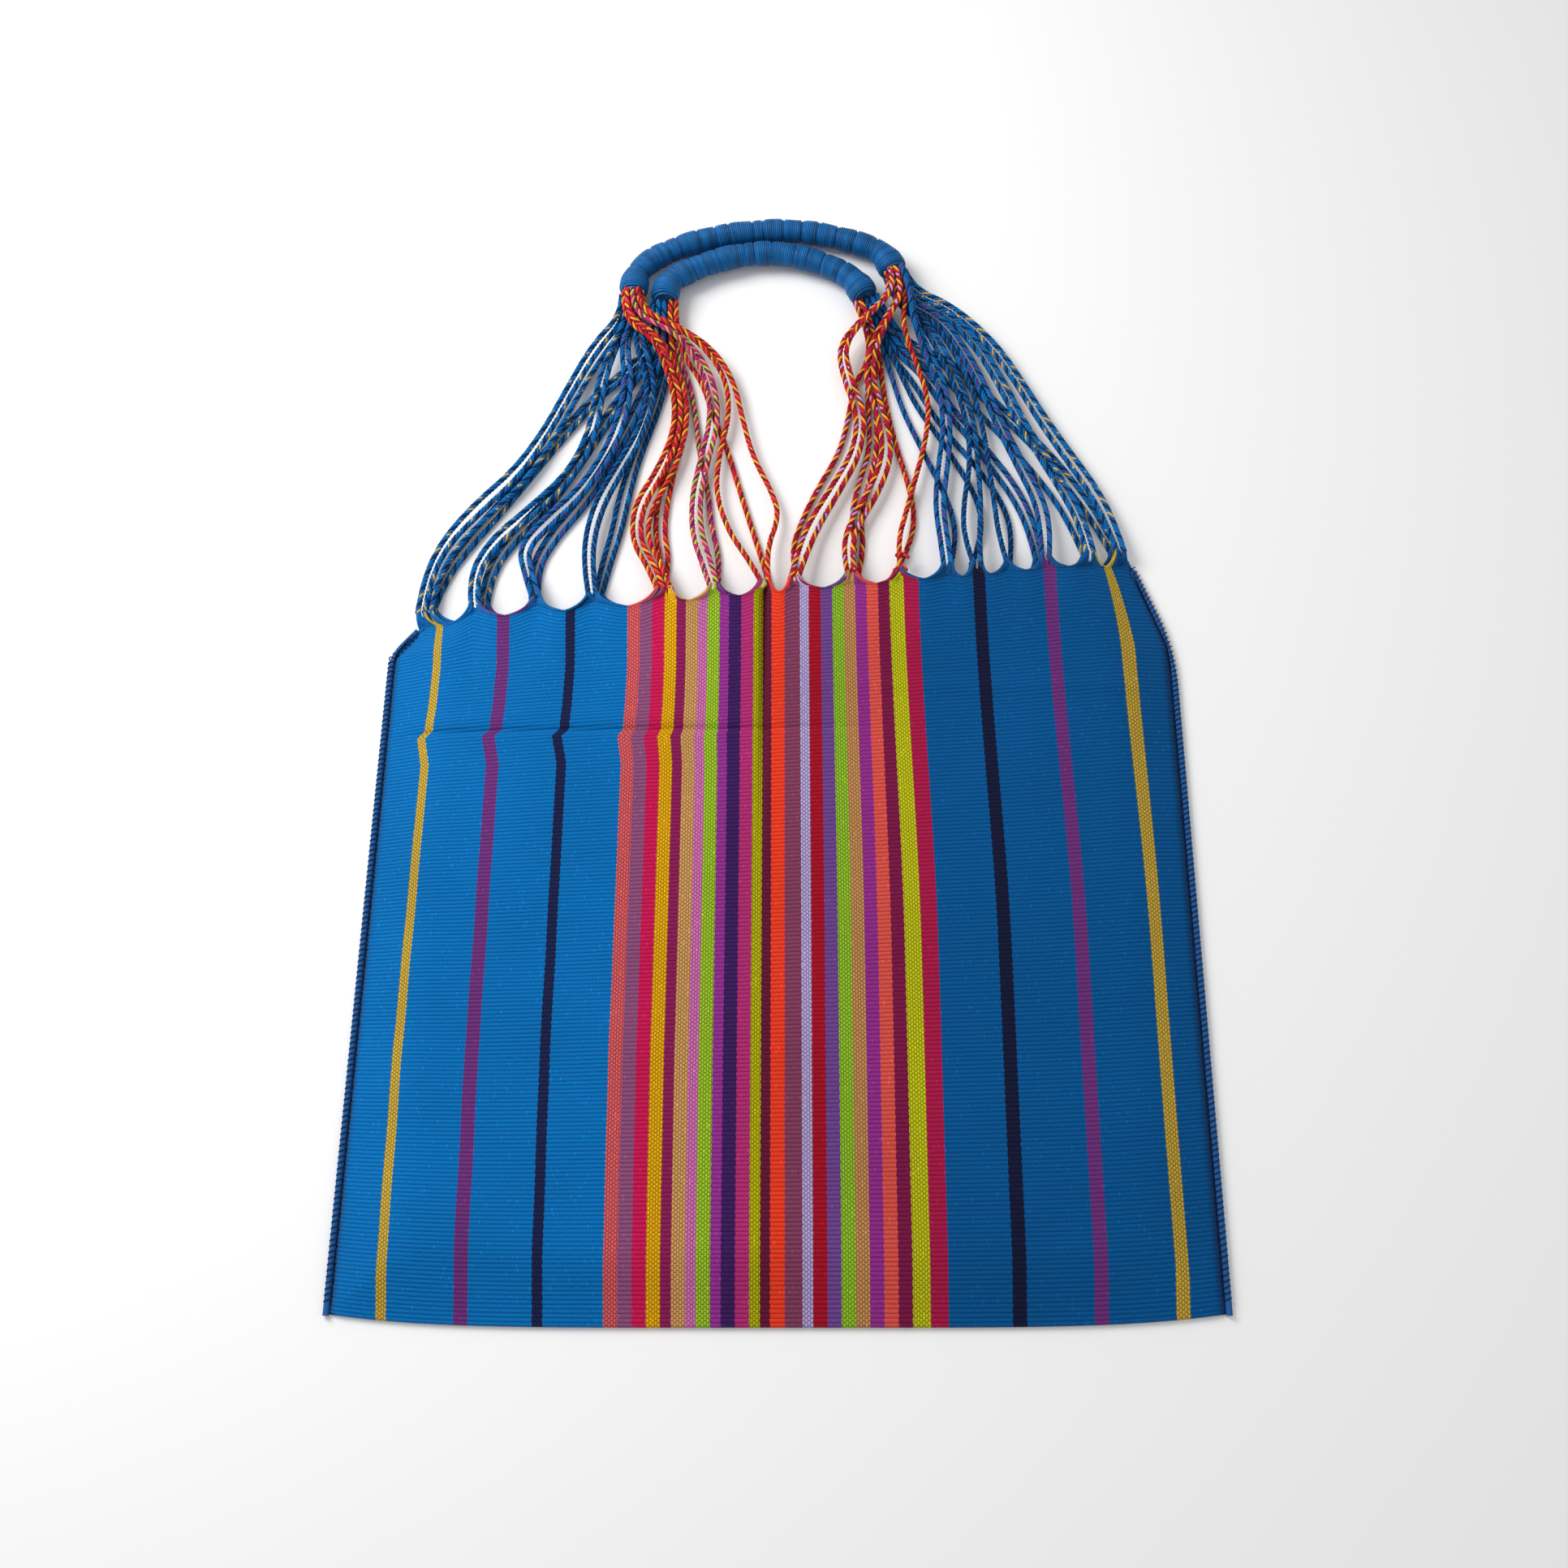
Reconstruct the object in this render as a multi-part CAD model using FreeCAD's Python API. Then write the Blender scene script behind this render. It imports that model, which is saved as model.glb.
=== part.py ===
import FreeCAD, Part
import math
import os

# Hammock bag: a striped cloth woven in one length, folded once across the bottom and sewn up both sides.
# At the mouth the warp ends of each panel are gathered into fans and twisted into cords, and the cords of
# each panel run up into the two ends of a yarn-wrapped handle. The bag lies flat, front panel upwards.
# Millimetres. X runs across the bag, Y from the bottom fold to the handles, Z up from the table.
# The origin is under the middle of the whole bag.

os.makedirs("parts", exist_ok=True)

# Overall sizes
bag_width = 400.0            # outside both side seams, at the bottom fold
overall_length = 582.0       # bottom fold to the top of the front handle
pouch_length = 353.0         # bottom fold to the mouth of the front panel, on the centre line
mouth_slope = 0.0939         # the mouth climbs this much for each millimetre to the right

# Cloth
cloth_thickness = 1.2
pocket_gap = 8.4             # between the panels, in the middle of the empty bag
seam_edge_height = 2.4       # the two panels pressed together at the sides
seam_inset = 2.5             # cloth taken up by the overcast seam
puff_width = 30.0            # the front panel climbs to its full height over this width
left_edge_lean = 4.0         # how far the left side leans in at the top
back_panel_rise = 3.0        # the back panel shows this much above the front one
left_corner = (12.0, 14.0)   # cut off the top corners: across, and down the side
right_corner = (17.0, 45.0)
bottom_corner = 5.0
seam_thread_diameter = 2.8   # the overcast bead along each side

# Warp ends and cords
fan_height = 7.0             # from the woven edge to where the cords start
fan_gap = 0.5                # between neighbouring fans
cord_diameter = 3.0
cord_pitch = 3.2             # between the cords where they are packed into a handle end
root_clearance = 0.8         # a cord starts this far from its fan
fold_clearance = 0.2         # the fold line lies this far off the cloth

# Handles
handle_diameter = 13.0
core_diameter = 8.8
core_clearance = 0.2         # on the diameter, between the core and the wrapping
binding_thickness = 1.4      # the extra turns at each end of the wrapping, where the cords go in
binding_clearance = 0.2      # on the diameter, between the wrapping and those turns
binding_length = 11.0
handle_gap = 1.0             # between the bindings of the two handles, at their left ends
neck_length = 16.0           # cords run straight out of a handle end for this length

cord_radius = cord_diameter / 2
bottom_y = -overall_length / 2
mouth_y = bottom_y + pouch_length
front_top = cloth_thickness * 2 + pocket_gap
wrap_bore_diameter = core_diameter + core_clearance
binding_bore_diameter = handle_diameter + binding_clearance
binding_diameter = binding_bore_diameter + 2 * binding_thickness
handle_z = binding_diameter / 2
handle_top_y = overall_length / 2 - handle_diameter / 2

# The middle line of each handle, from its left end over to its right end.
front_left_x = -79.0
back_left_x = front_left_x + binding_diameter + handle_gap
front_handle_line = [(front_left_x, 243), (front_left_x, 256), (-67, 268), (-42, 279),
                     (-12, handle_top_y), (14, handle_top_y), (40, 278), (59, 270), (63, 257)]
back_handle_line = [(back_left_x, 239), (back_left_x, 249), (-52, 257), (-32, 266),
                    (-11, 270.5), (10, 268.5), (30, 260.5), (43, 251), (47, 241)]

# A bunch is the group of cords twisted from one fan. Each has the line of its middle in plan, and for each
# of its cords the distance to the right of that line and the height at each point, and then its place in
# the handle end: how far right of the end's middle and how far above it, in steps of the packed cords.
front_left_bunches = [
    (-179, [(-178, 70), (-169, 92), (-153, 113), (-135, 134), (-120, 158), (-109, 184), (-97, 210)],
     [((-3.3, -3.4, -5, -5.5, -4, -4.5, -4.2, -3.3), (5.2, 4.9, 4.9, 4.9, 4.9, 4.9, 7.6), (-2, -0.1)),
      ((0, 0.2, -1, 0.5, 0.8, -0.8, -0.6, 0), (5.2, 4.9, 4.9, 4.9, 4.9, 4.9, 5.1), (-1.5, -1.1)),
      ((3.3, 3.6, 3.5, 4.8, 5.2, 3, 3.2, 3.3), (5.2, 4.9, 4.9, 4.9, 4.9, 4.9, 2.7), (-1, -2.1))]),
    (-153, [(-156, 72), (-147, 93), (-127, 112), (-108, 134), (-98, 160), (-95, 186), (-89, 210)],
     [((-1.8, -1.8, -2.5, -3, -2, -1.8, -2, -0.8), (7, 4.9, 4.9, 4.9, 4.9, 6.3, 7.6), (-1, -0.1)),
      ((1.8, 1.8, 2, 2, 2.6, 2.4, 1.8, 0.8), (7, 4.9, 4.9, 4.9, 4.9, 6.1, 4.8), (-0.5, -1.1))]),
    (-122, [(-127, 73), (-131, 90), (-119, 105), (-103, 123), (-90, 146), (-82, 170), (-80, 190), (-83, 210)],
     [((-1.8, -1.8, -2.8, -3.4, -2, -1.8, -2.2, -1.8, -1.6), (7, 4.9, 4.9, 4.9, 4.9, 4.9, 7, 9), (0, -0.1)),
      ((1.8, 1.8, 1.8, 2, 2.2, 3, 1.8, 1.8, 1.6), (7, 4.9, 4.9, 4.9, 4.9, 4.9, 7.2, 7.8), (0, -2.1))]),
    (-94, [(-97, 77), (-97, 97), (-93, 118), (-82, 140), (-71, 162), (-67, 186), (-74, 208)],
     [((-1.8, -2, -2.6, -2, -1.8, -2, -1.8, -2), (7, 4.9, 4.9, 4.9, 4.9, 6.6, 8.9), (0.5, -1.1)),
      ((1.8, 2.2, 2, 3, 2.4, 1.8, 1.8, 2), (7, 4.9, 4.9, 4.9, 4.9, 6.8, 9.3), (1, -0.1))]),
    (-58, [(-63, 79), (-71, 95), (-70, 114), (-60, 134), (-52, 158), (-52, 181), (-58, 198), (-65, 213)],
     [((-3.3, -3.4, -4.6, -5.2, -4, -3.4, -3.3, -2.6, -1.7), (7, 4.9, 4.9, 4.9, 4.9, 5.4, 8, 12.1),
       (-1.5, 1.05)),
      ((0, 0, -0.5, -0.6, 0, 0, 0, 0, 0), (7, 4.9, 4.9, 4.9, 4.9, 5.6, 10, 14.6), (-1, 2.05)),
      ((3.3, 3.5, 3.2, 4.2, 4.4, 3.5, 3.3, 2.6, 1.7), (7, 4.9, 4.9, 4.9, 4.9, 5.4, 8, 11.8), (-0.5, 1.05))]),
    (-33, [(-37, 82), (-42, 99), (-43, 120), (-39, 143), (-34, 166), (-36, 188), (-44, 204), (-57, 217)],
     [((-1.8, -2.4, -2.6, -2.2, -1.8, -2, -1.8, -1.6, -1), (7, 4.9, 4.9, 4.9, 4.9, 5.8, 10.4, 14.5),
       (0, 2.05)),
      ((1.8, 2.2, 2, 2, 2.2, 2.4, 1.8, 1.6, 1), (7, 4.9, 4.9, 4.9, 4.9, 5.8, 9, 11.6), (0.5, 1.05))]),
    (-7, [(-13, 84), (-22, 101), (-27, 123), (-24, 146), (-22, 169), (-26, 190), (-36, 206), (-53, 218.5)],
     [((-1.8, -2.6, -4, -6, -7, -4, -1.8, -1.6, -1), (7, 4.9, 4.9, 4.9, 4.9, 5.8, 10.4, 14.5), (1, 2.05)),
      ((1.8, 7, 24, 23, 10, 2.4, 1.8, 1.6, 1), (7, 4.9, 4.9, 4.9, 4.9, 5.8, 9, 11.8), (1.5, 1.05))]),
]
front_right_bunches = [
    (8, [(12, 86), (19, 104), (30, 125), (41, 147), (44, 170), (37, 191), (33, 209), (46, 225)],
     [((-1.8, -2.4, -3.5, -2.6, -1.8, -2, -2.4, -1.6, -1), (7, 4.9, 4.9, 4.9, 4.9, 5.6, 9, 11.8),
       (-1.5, 1.05)),
      ((1.8, 2.2, 2, 2.2, 2.4, 1.8, 1.8, 1.6, 1), (7, 4.9, 4.9, 4.9, 4.9, 5.6, 10.4, 14.5), (-1, 2.05))]),
    (37, [(35, 89), (40, 106), (50, 125), (57, 146), (55, 168), (48, 189), (50, 208), (58, 224.5)],
     [((-1.8, -2.4, -2.6, -2, -1.8, -2, -1.8, -1.7, -1), (7, 4.9, 4.9, 4.9, 4.9, 6.3, 9.2, 11.8),
       (-0.5, 1.05)),
      ((1.8, 2, 2, 3, 2.8, 1.8, 1.8, 1.7, 1), (7, 4.9, 4.9, 4.9, 4.9, 6.3, 10.2, 14.5), (0, 2.05))]),
    (62, [(61, 92), (66, 111), (72, 133), (78, 156), (80, 179), (73, 202), (66, 222)],
     [((0, 0, 0, 0, 0, 0, 0, 0), (7, 4.9, 4.9, 4.9, 4.9, 6.9, 11.8), (0.5, 1.05))]),
    (86, [(85, 95), (83, 115), (86, 137), (89, 160), (88, 184), (80, 205), (72, 225)],
     [((-1.8, -2, -1.8, -2.6, -2, -1.8, -1.8, -0.8), (7, 4.9, 4.9, 4.9, 4.9, 8.3, 14.5), (1, 2.05)),
      ((1.8, 1.8, 2, 2.2, 1.8, 1.8, 1.8, 0.8), (7, 4.9, 4.9, 4.9, 5.6, 6.8, 11.6), (1.5, 1.05))]),
    (101, [(98, 96), (99, 116), (102, 138), (102, 161), (97, 184), (88, 206), (78, 227)],
     [((-1.8, -3, -3, -1.8, -1.8, -1.8, -1.8, -0.8), (7, 4.9, 4.9, 4.9, 4.9, 7.2, 5.2), (-1.5, -1.1)),
      ((1.8, 5, 6, 2.4, 1.8, 1.8, 1.8, 0.8), (7, 4.9, 4.9, 4.9, 4.9, 7.9, 8), (-1, -0.1))]),
    (116, [(113, 97), (112, 117), (110, 139), (108, 162), (103, 186), (94, 208), (83, 228.5)],
     [((0, 0, 0, 0, 0, 0, 0, 0), (7, 4.9, 4.9, 4.9, 4.9, 6.4, 5.2), (-0.5, -1.1))]),
    (136, [(138, 99), (136, 118), (127, 138), (118, 160), (110, 183), (100, 207), (88, 229.5)],
     [((-1.8, -3.2, -3, -2, -1.8, -1.8, -1.8, -0.8), (7, 4.9, 4.9, 4.9, 5.1, 5.9, 1.8), (0, -2.1)),
      ((1.8, 1.8, 1.8, 2, 1.8, 1.8, 1.8, 0.8), (7, 4.9, 4.9, 4.9, 5.1, 5.9, 6.6), (0, -0.1))]),
    (159, [(157, 102), (150, 122), (139, 143), (128, 165), (119, 188), (108, 211), (93, 231.5)],
     [((-1.8, -1.8, -2.2, -1.8, -1.8, -1.8, -1.8, -0.8), (6.6, 4.9, 4.9, 4.9, 4.9, 4.9, 3.4), (0.5, -1.1)),
      ((1.8, 1.8, 1.8, 2.2, 1.8, 1.8, 1.8, 0.8), (6.6, 4.9, 4.9, 4.9, 4.9, 5.6, 6.5), (1, -0.1))]),
    (175, [(171, 104), (163, 124), (151, 145), (139, 167), (128, 190), (115, 213), (94, 236)],
     [((-1.8, -1.8, -1.8, -1.8, -2, -1.8, -1.8, -0.8), (6, 4.9, 4.9, 4.9, 4.9, 4.9, 3.8), (1.5, -1.1)),
      ((1.8, 2.4, 3, 2.6, 2.2, 1.8, 1.8, 0.8), (6, 4.9, 4.9, 4.9, 4.9, 5.6, 6.9), (2, -0.1))]),
]
back_left_bunches = [
    (-177, [(-172, 75), (-160, 95), (-145, 116), (-129, 138), (-113, 161), (-96, 184), (-71.6, 205)],
     [((-1.8, -2, -2.4, -2, -1.8, -2.2, -1.8, -1.6), (1.5, 1.5, 1.5, 1.5, 1.5, 1.5, 5), (-2, -0.1)),
      ((1.8, 2, 2.4, 3, 2, 1.8, 1.8, 1.6), (1.5, 1.5, 1.5, 1.5, 1.5, 2.4, 3.4), (-1.5, -1.1))]),
    (-150, [(-149, 77), (-138, 97), (-121, 118), (-106, 141), (-93, 165), (-81, 187), (-67.5, 205)],
     [((-1.8, -2, -2.4, -2, -1.8, -2.2, -1.8, 0), (1.5, 1.5, 1.5, 1.5, 1.5, 1.5, 1.6), (-1, -2.1)),
      ((1.8, 2, 2.4, 3, 2, 1.8, 1.8, 0), (1.5, 1.5, 1.5, 1.5, 1.5, 3, 5.2), (-1, -0.1))]),
    (-124, [(-126, 78), (-118, 97), (-103, 118), (-90, 141), (-79, 165), (-71, 187), (-63.4, 205)],
     [((-1.8, -2, -2.4, -2, -1.8, -2.2, -1.8, -1.4), (1.5, 1.5, 1.5, 1.5, 1.5, 2, 3.4), (-0.5, -1.1)),
      ((1.8, 2, 2.4, 3, 2, 1.8, 1.8, 1.4), (1.5, 1.5, 1.5, 1.5, 1.5, 3, 5.2), (0, -0.1))]),
    (-92, [(-89, 81), (-84, 101), (-81, 123), (-75, 146), (-67, 169), (-62.5, 189), (-60.6, 205)],
     [((-1.8, -2, -2.4, -2, -1.8, -2.2, -1.8, -1.4), (1.5, 1.5, 1.5, 1.5, 1.5, 1.5, 1.6), (0, -2.1)),
      ((1.8, 2, 2.4, 3, 2, 1.8, 1.8, 1.4), (1.5, 1.5, 1.5, 1.5, 1.5, 2, 3.4), (0.5, -1.1))]),
    (-60, [(-58, 83), (-62, 103), (-60, 125), (-55, 147), (-53, 169), (-54, 189), (-56.5, 205)],
     [((-1.8, -2, -2.4, -2, -1.8, -2.2, -1.8, 0), (1.5, 1.5, 1.5, 1.5, 1.5, 1.5, 1.6), (1, -2.1)),
      ((1.8, 2, 2.4, 3, 2, 1.8, 1.8, 0), (1.5, 1.5, 1.5, 1.5, 1.5, 3, 5.2), (1, -0.1))]),
    (-31, [(-30, 85), (-35, 105), (-37, 127), (-42, 149), (-44, 170), (-47.5, 190), (-53.8, 205)],
     [((0, 0, 0, 0, 0, 0, 0, 0), (1.5, 1.5, 1.5, 1.5, 1.5, 2, 3.4), (1.5, -1.1))]),
    (-5, [(-9, 87), (-15, 107), (-21, 128), (-27, 150), (-35, 171), (-41, 191), (-51, 205)],
     [((0, 0, 0, 0, 0, 0, 0, 0), (1.5, 1.5, 1.5, 1.5, 1.5, 3, 5.2), (2, -0.1))]),
]
back_right_bunches = [
    (10, [(6, 88), (12, 108), (21, 128), (32, 148), (37, 169), (40, 189), (49.4, 205.3)],
     [((0, 0, 0, 0, 0, 0, 0, 0), (1.5, 1.5, 1.5, 1.5, 1.5, 1.5, 4.8), (-2, -0.1))]),
    (39, [(42, 90), (40, 110), (44, 130), (50, 150), (50, 171), (49, 191), (53.2, 206.9)],
     [((-1.8, -2, -2.4, -2, -1.8, -2.2, -1.8, -1.4), (1.5, 1.5, 1.5, 1.5, 1.5, 2, 3.4), (-1.5, -1.1)),
      ((1.8, 2, 2.4, 3, 2, 1.8, 1.8, 1.4), (1.5, 1.5, 1.5, 1.5, 1.5, 3, 5.2), (-1, -0.1))]),
    (60, [(68, 93), (71, 113), (67, 133), (62, 152), (58, 172), (55.5, 191), (54.5, 207.4)],
     [((0, 0, 0, 0, 0, 0, 0, 0), (1.5, 1.5, 1.5, 1.5, 1.5, 1.5, 1.6), (-1, -2.1))]),
    (88, [(92, 95), (90, 115), (82, 135), (74, 154), (66, 174), (61, 193), (57, 208.4)],
     [((0, 0, 0, 0, 0, 0, 0, 0), (1.5, 1.5, 1.5, 1.5, 1.5, 2, 3.4), (-0.5, -1.1))]),
    (99, [(105, 97), (105, 117), (96, 137), (86, 156), (74, 175), (66, 194), (59.6, 209.4)],
     [((0, 0, 0, 0, 0, 0, 0, 0), (1.5, 1.5, 1.5, 1.5, 1.5, 3, 5.2), (0, -0.1))]),
    (119, [(121, 99), (117, 118), (106, 137), (92, 156), (80, 175), (71, 194), (59.6, 209.4)],
     [((0, 0, 0, 0, 0, 0, 0, 0), (1.5, 1.5, 1.5, 1.5, 1.5, 1.5, 1.6), (0, -2.1))]),
    (134, [(132, 100), (126, 119), (115, 138), (102, 158), (89, 178), (78, 197), (63.4, 210.9)],
     [((-1.8, -2, -2.4, -2, -1.8, -2.2, -1.8, -1.4), (1.5, 1.5, 1.5, 1.5, 1.5, 2, 3.4), (0.5, -1.1)),
      ((1.8, 2, 2.4, 3, 2, 1.8, 1.8, 1.4), (1.5, 1.5, 1.5, 1.5, 1.5, 3.2, 5.4), (1, -0.1))]),
    (157, [(152, 103), (143, 122), (130, 142), (115, 162), (99, 182), (84, 199), (64.7, 211.4)],
     [((0, 0, 0, 0, 0, 0, 0, 0), (1.5, 1.5, 1.5, 1.5, 1.5, 1.5, 1.6), (1, -2.1))]),
    (173, [(166, 106), (155, 126), (141, 146), (125, 166), (108, 186), (92, 203), (68.5, 213)],
     [((-1.8, -2, -2.4, -2, -1.8, -2.2, -1.8, -1.4), (1.5, 1.5, 1.5, 1.5, 1.5, 2, 3.4), (1.5, -1.1)),
      ((1.8, 2, 2.4, 3, 2, 1.8, 1.8, 1.4), (1.5, 1.5, 1.5, 1.5, 1.5, 2.5, 5.2), (2, -0.1))]),
]


def vector(x, y, z=0.0):
    return FreeCAD.Vector(x, y, z)


def mouth_at(x):
    """The woven edge of the front panel."""
    return mouth_y + mouth_slope * x


def mouth_point(x, beyond, z):
    return vector(x, mouth_at(x) + beyond, z)


def front_height(x):
    """Top of the front panel along the mouth: pressed flat at the side seams, full height in the middle."""
    left_side = -bag_width / 2 + left_edge_lean
    inwards = max(0.0, min(x - left_side, bag_width / 2 - x, puff_width))
    return seam_edge_height + (front_top - seam_edge_height) * inwards / puff_width


def rounded_route(points):
    """Straight runs joined by tangent arcs, each arc as large as its two runs allow."""
    edges = []
    radii = []
    start = points[0]
    for before, corner, after in zip(points, points[1:], points[2:]):
        back = before - corner
        ahead = after - corner
        reach = 0.45 * min(back.Length, ahead.Length)
        turn = math.pi - back.getAngle(ahead)
        arc_start = corner + back.normalize() * reach
        arc_end = corner + ahead.normalize() * reach
        radius = reach / math.tan(turn / 2)
        halfway = (back + ahead).normalize()
        arc_middle = corner + halfway * (math.hypot(radius, reach) - radius)
        edges.append(Part.LineSegment(start, arc_start).toShape())
        edges.append(Part.Arc(arc_start, arc_middle, arc_end).toShape())
        radii.append(radius)
        start = arc_end
    edges.append(Part.LineSegment(start, points[-1]).toShape())
    return Part.Wire(edges), radii


def laid_rod(points, radius):
    """A round rod of cord or yarn that follows a rounded route. Gives the rod, its length and its radii."""
    route, radii = rounded_route(points)
    circle = Part.makeCircle(radius, points[0], points[1] - points[0])
    rod = route.makePipeShell([Part.Wire(circle)], True, False)
    return rod, route.Length, radii


def upright_prism(outline, low, high):
    corners = [vector(x, y, low) for x, y in outline]
    face = Part.Face(Part.makePolygon(corners + corners[:1]))
    return face.extrude(vector(0, 0, high - low))


def above_slope(start, end, low, high, run):
    """What lies over a slope that climbs inwards, to the left of the line from start to end."""
    along = (end - start).normalize()
    inwards = vector(-along.y, along.x)
    spare = bag_width
    rise = (high - low) / run
    corners = []
    for distance, height in ((-10, low - 10 * rise), (run, high), (run, high + spare), (-10, high + spare)):
        corners.append(start - along * spare + inwards * distance + vector(0, 0, height))
    face = Part.Face(Part.makePolygon(corners + corners[:1]))
    return face.extrude(along * ((end - start).Length + 2 * spare))


def cloth_outline(inset, beyond_mouth):
    """Corners of the pouch in plan, anticlockwise from the bottom left, drawn in by the inset."""
    half = bag_width / 2 - seam_thread_diameter - inset
    low = bottom_y + inset
    left_top = -half + left_edge_lean
    cut_across, cut_down = left_corner
    left_end = left_top + cut_across
    right_end = half - right_corner[0]
    return [(-half + bottom_corner, low), (half - bottom_corner, low), (half, low + bottom_corner),
            (half, mouth_at(right_end) - right_corner[1]),
            (right_end, mouth_at(right_end) + beyond_mouth),
            (left_end, mouth_at(left_end) + beyond_mouth),
            (left_top, mouth_at(left_end) - cut_down), (-half, low + bottom_corner)]


def woven_cloth():
    """Front panel, bottom fold and back panel, with the pocket between them open at the mouth."""
    outline = cloth_outline(0.0, back_panel_rise)
    outer = upright_prism(outline, 0, front_top)
    pocket = upright_prism(cloth_outline(seam_inset, back_panel_rise + fan_height),
                           cloth_thickness, front_top - cloth_thickness)
    sides = [(outline[0], outline[1]), (outline[2], outline[3]), (outline[6], outline[7])]
    for start, end in sides:
        edge = (vector(*start), vector(*end))
        outer = outer.cut(above_slope(*edge, seam_edge_height, front_top, puff_width))
        pocket = pocket.cut(above_slope(*edge, cloth_thickness, front_top - cloth_thickness, puff_width))
    half = bag_width / 2
    strip = [(-half, mouth_at(-half)), (half, mouth_at(half)), (half, half), (-half, half)]
    over_back_panel = upright_prism(strip, cloth_thickness, front_top + 1)
    return outer.cut(pocket).cut(over_back_panel)


def side_seam(cloth, outline_points, side):
    """The overcast thread that sews one side of the pouch, as the bead it makes against the cloth's edge."""
    radius = seam_thread_diameter / 2
    points = []
    for x, y in outline_points:
        points.append(vector(x + side * radius, y, radius))
    return laid_rod(points, radius)[0].cut(cloth)


def warp_fans(bunches, beyond_mouth, top_height):
    """The warp ends of one panel, drawn together along its mouth towards each bunch of cords."""
    outline = cloth_outline(0.0, 0.0)
    mouth_ends = (outline[5][0], outline[4][0])
    roots = [bunch[0] for bunch in bunches]
    middles = [(a + b) / 2 for a, b in zip(roots, roots[1:])]
    edges = [mouth_ends[0]] + middles + [mouth_ends[1]]
    fans = []
    for number, (root, points, cords) in enumerate(bunches):
        base_left = edges[number] + fan_gap / 2
        base_right = edges[number + 1] - fan_gap / 2
        tip_left = root + cords[0][0][0] - cord_radius
        tip_right = root + cords[-1][0][0] + cord_radius
        top = top_height(root)
        fan = [(base_left, mouth_at(base_left) + beyond_mouth),
               (base_right, mouth_at(base_right) + beyond_mouth),
               (tip_right, mouth_at(tip_right) + beyond_mouth + fan_height),
               (tip_left, mouth_at(tip_left) + beyond_mouth + fan_height)]
        fans.append(upright_prism(fan, top - cloth_thickness, top))
    return Part.makeCompound(fans)


def handle_end(line, first):
    """The middle of one end face of a handle, and the way that face looks."""
    near, far = (line[0], line[1]) if first else (line[-1], line[-2])
    middle = vector(*near, handle_z)
    outwards = (middle - vector(*far, handle_z)).normalize()
    return middle, outwards


def turn_between(arriving, leaving):
    """Angle in plan from one direction to the next, positive to the left."""
    across = arriving.x * leaving.y - arriving.y * leaving.x
    along = arriving.x * leaving.x + arriving.y * leaving.y
    return math.atan2(across, along)


def cord_points(root, points, cord, root_height, beyond_mouth, end):
    """One cord's route, from its fan to its place in the handle end."""
    sides, heights, (step_right, step_up) = cord
    start = mouth_point(root + sides[0], beyond_mouth + fan_height + root_clearance, root_height)
    middle_line = [start - vector(sides[0], 0)] + [vector(x, y) for x, y in points]
    end_middle, outwards = end
    end_right = vector(-outwards.y, outwards.x)
    neck = end_middle + outwards * neck_length
    turn = turn_between(neck - middle_line[-1], outwards * -1)
    middle_line.append(neck)
    route = [start]
    for number, height in enumerate(heights, start=1):
        here = middle_line[number]
        along = middle_line[number + 1] - middle_line[number - 1]
        right = vector(along.y, -along.x).normalize()
        route.append(vector(here.x, here.y, height) + right * sides[number])
    place = (end_middle + end_right * (step_right * cord_pitch)
             + vector(0, 0, step_up * cord_pitch * math.sin(math.radians(60))))
    route.append(place + outwards * (neck_length + step_right * cord_pitch * math.tan(turn / 2)))
    route.append(place)
    return route


def front_root_height(x):
    return front_height(x) + fold_clearance - cord_radius


def back_root_height(x):
    return cord_radius


def back_height(x):
    return cloth_thickness


def bunch_routes(face):
    """Every cord of one net as (bunch number, route)."""
    if face == "front":
        line, height, beyond = front_handle_line, front_root_height, 0.0
        halves = ((front_left_bunches, True), (front_right_bunches, False))
    else:
        line, height, beyond = back_handle_line, back_root_height, back_panel_rise
        halves = ((back_left_bunches, True), (back_right_bunches, False))
    routes = []
    number = 0
    for bunches, first in halves:
        end = handle_end(line, first)
        for root, points, cords in bunches:
            number += 1
            for cord in cords:
                routes.append((number, cord_points(root, points, cord, height(root), beyond, end)))
    return routes


# The cloth, sewn up its two sides
outline = cloth_outline(0.0, 0.0)
cloth = woven_cloth()
cloth.exportStep("parts/woven_cloth.step")
side_seam(cloth, [outline[7], outline[6], outline[5]], -1).exportStep("parts/left_seam_thread.step")
side_seam(cloth, [outline[2], outline[3], outline[4]], 1).exportStep("parts/right_seam_thread.step")

# The fans of warp ends along the mouth
front_fans = warp_fans(front_left_bunches + front_right_bunches, 0.0, front_height)
front_fans.exportStep("parts/front_warp_fans.step")
back_fans = warp_fans(back_left_bunches + back_right_bunches, back_panel_rise, back_height)
back_fans.exportStep("parts/back_warp_fans.step")

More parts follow.
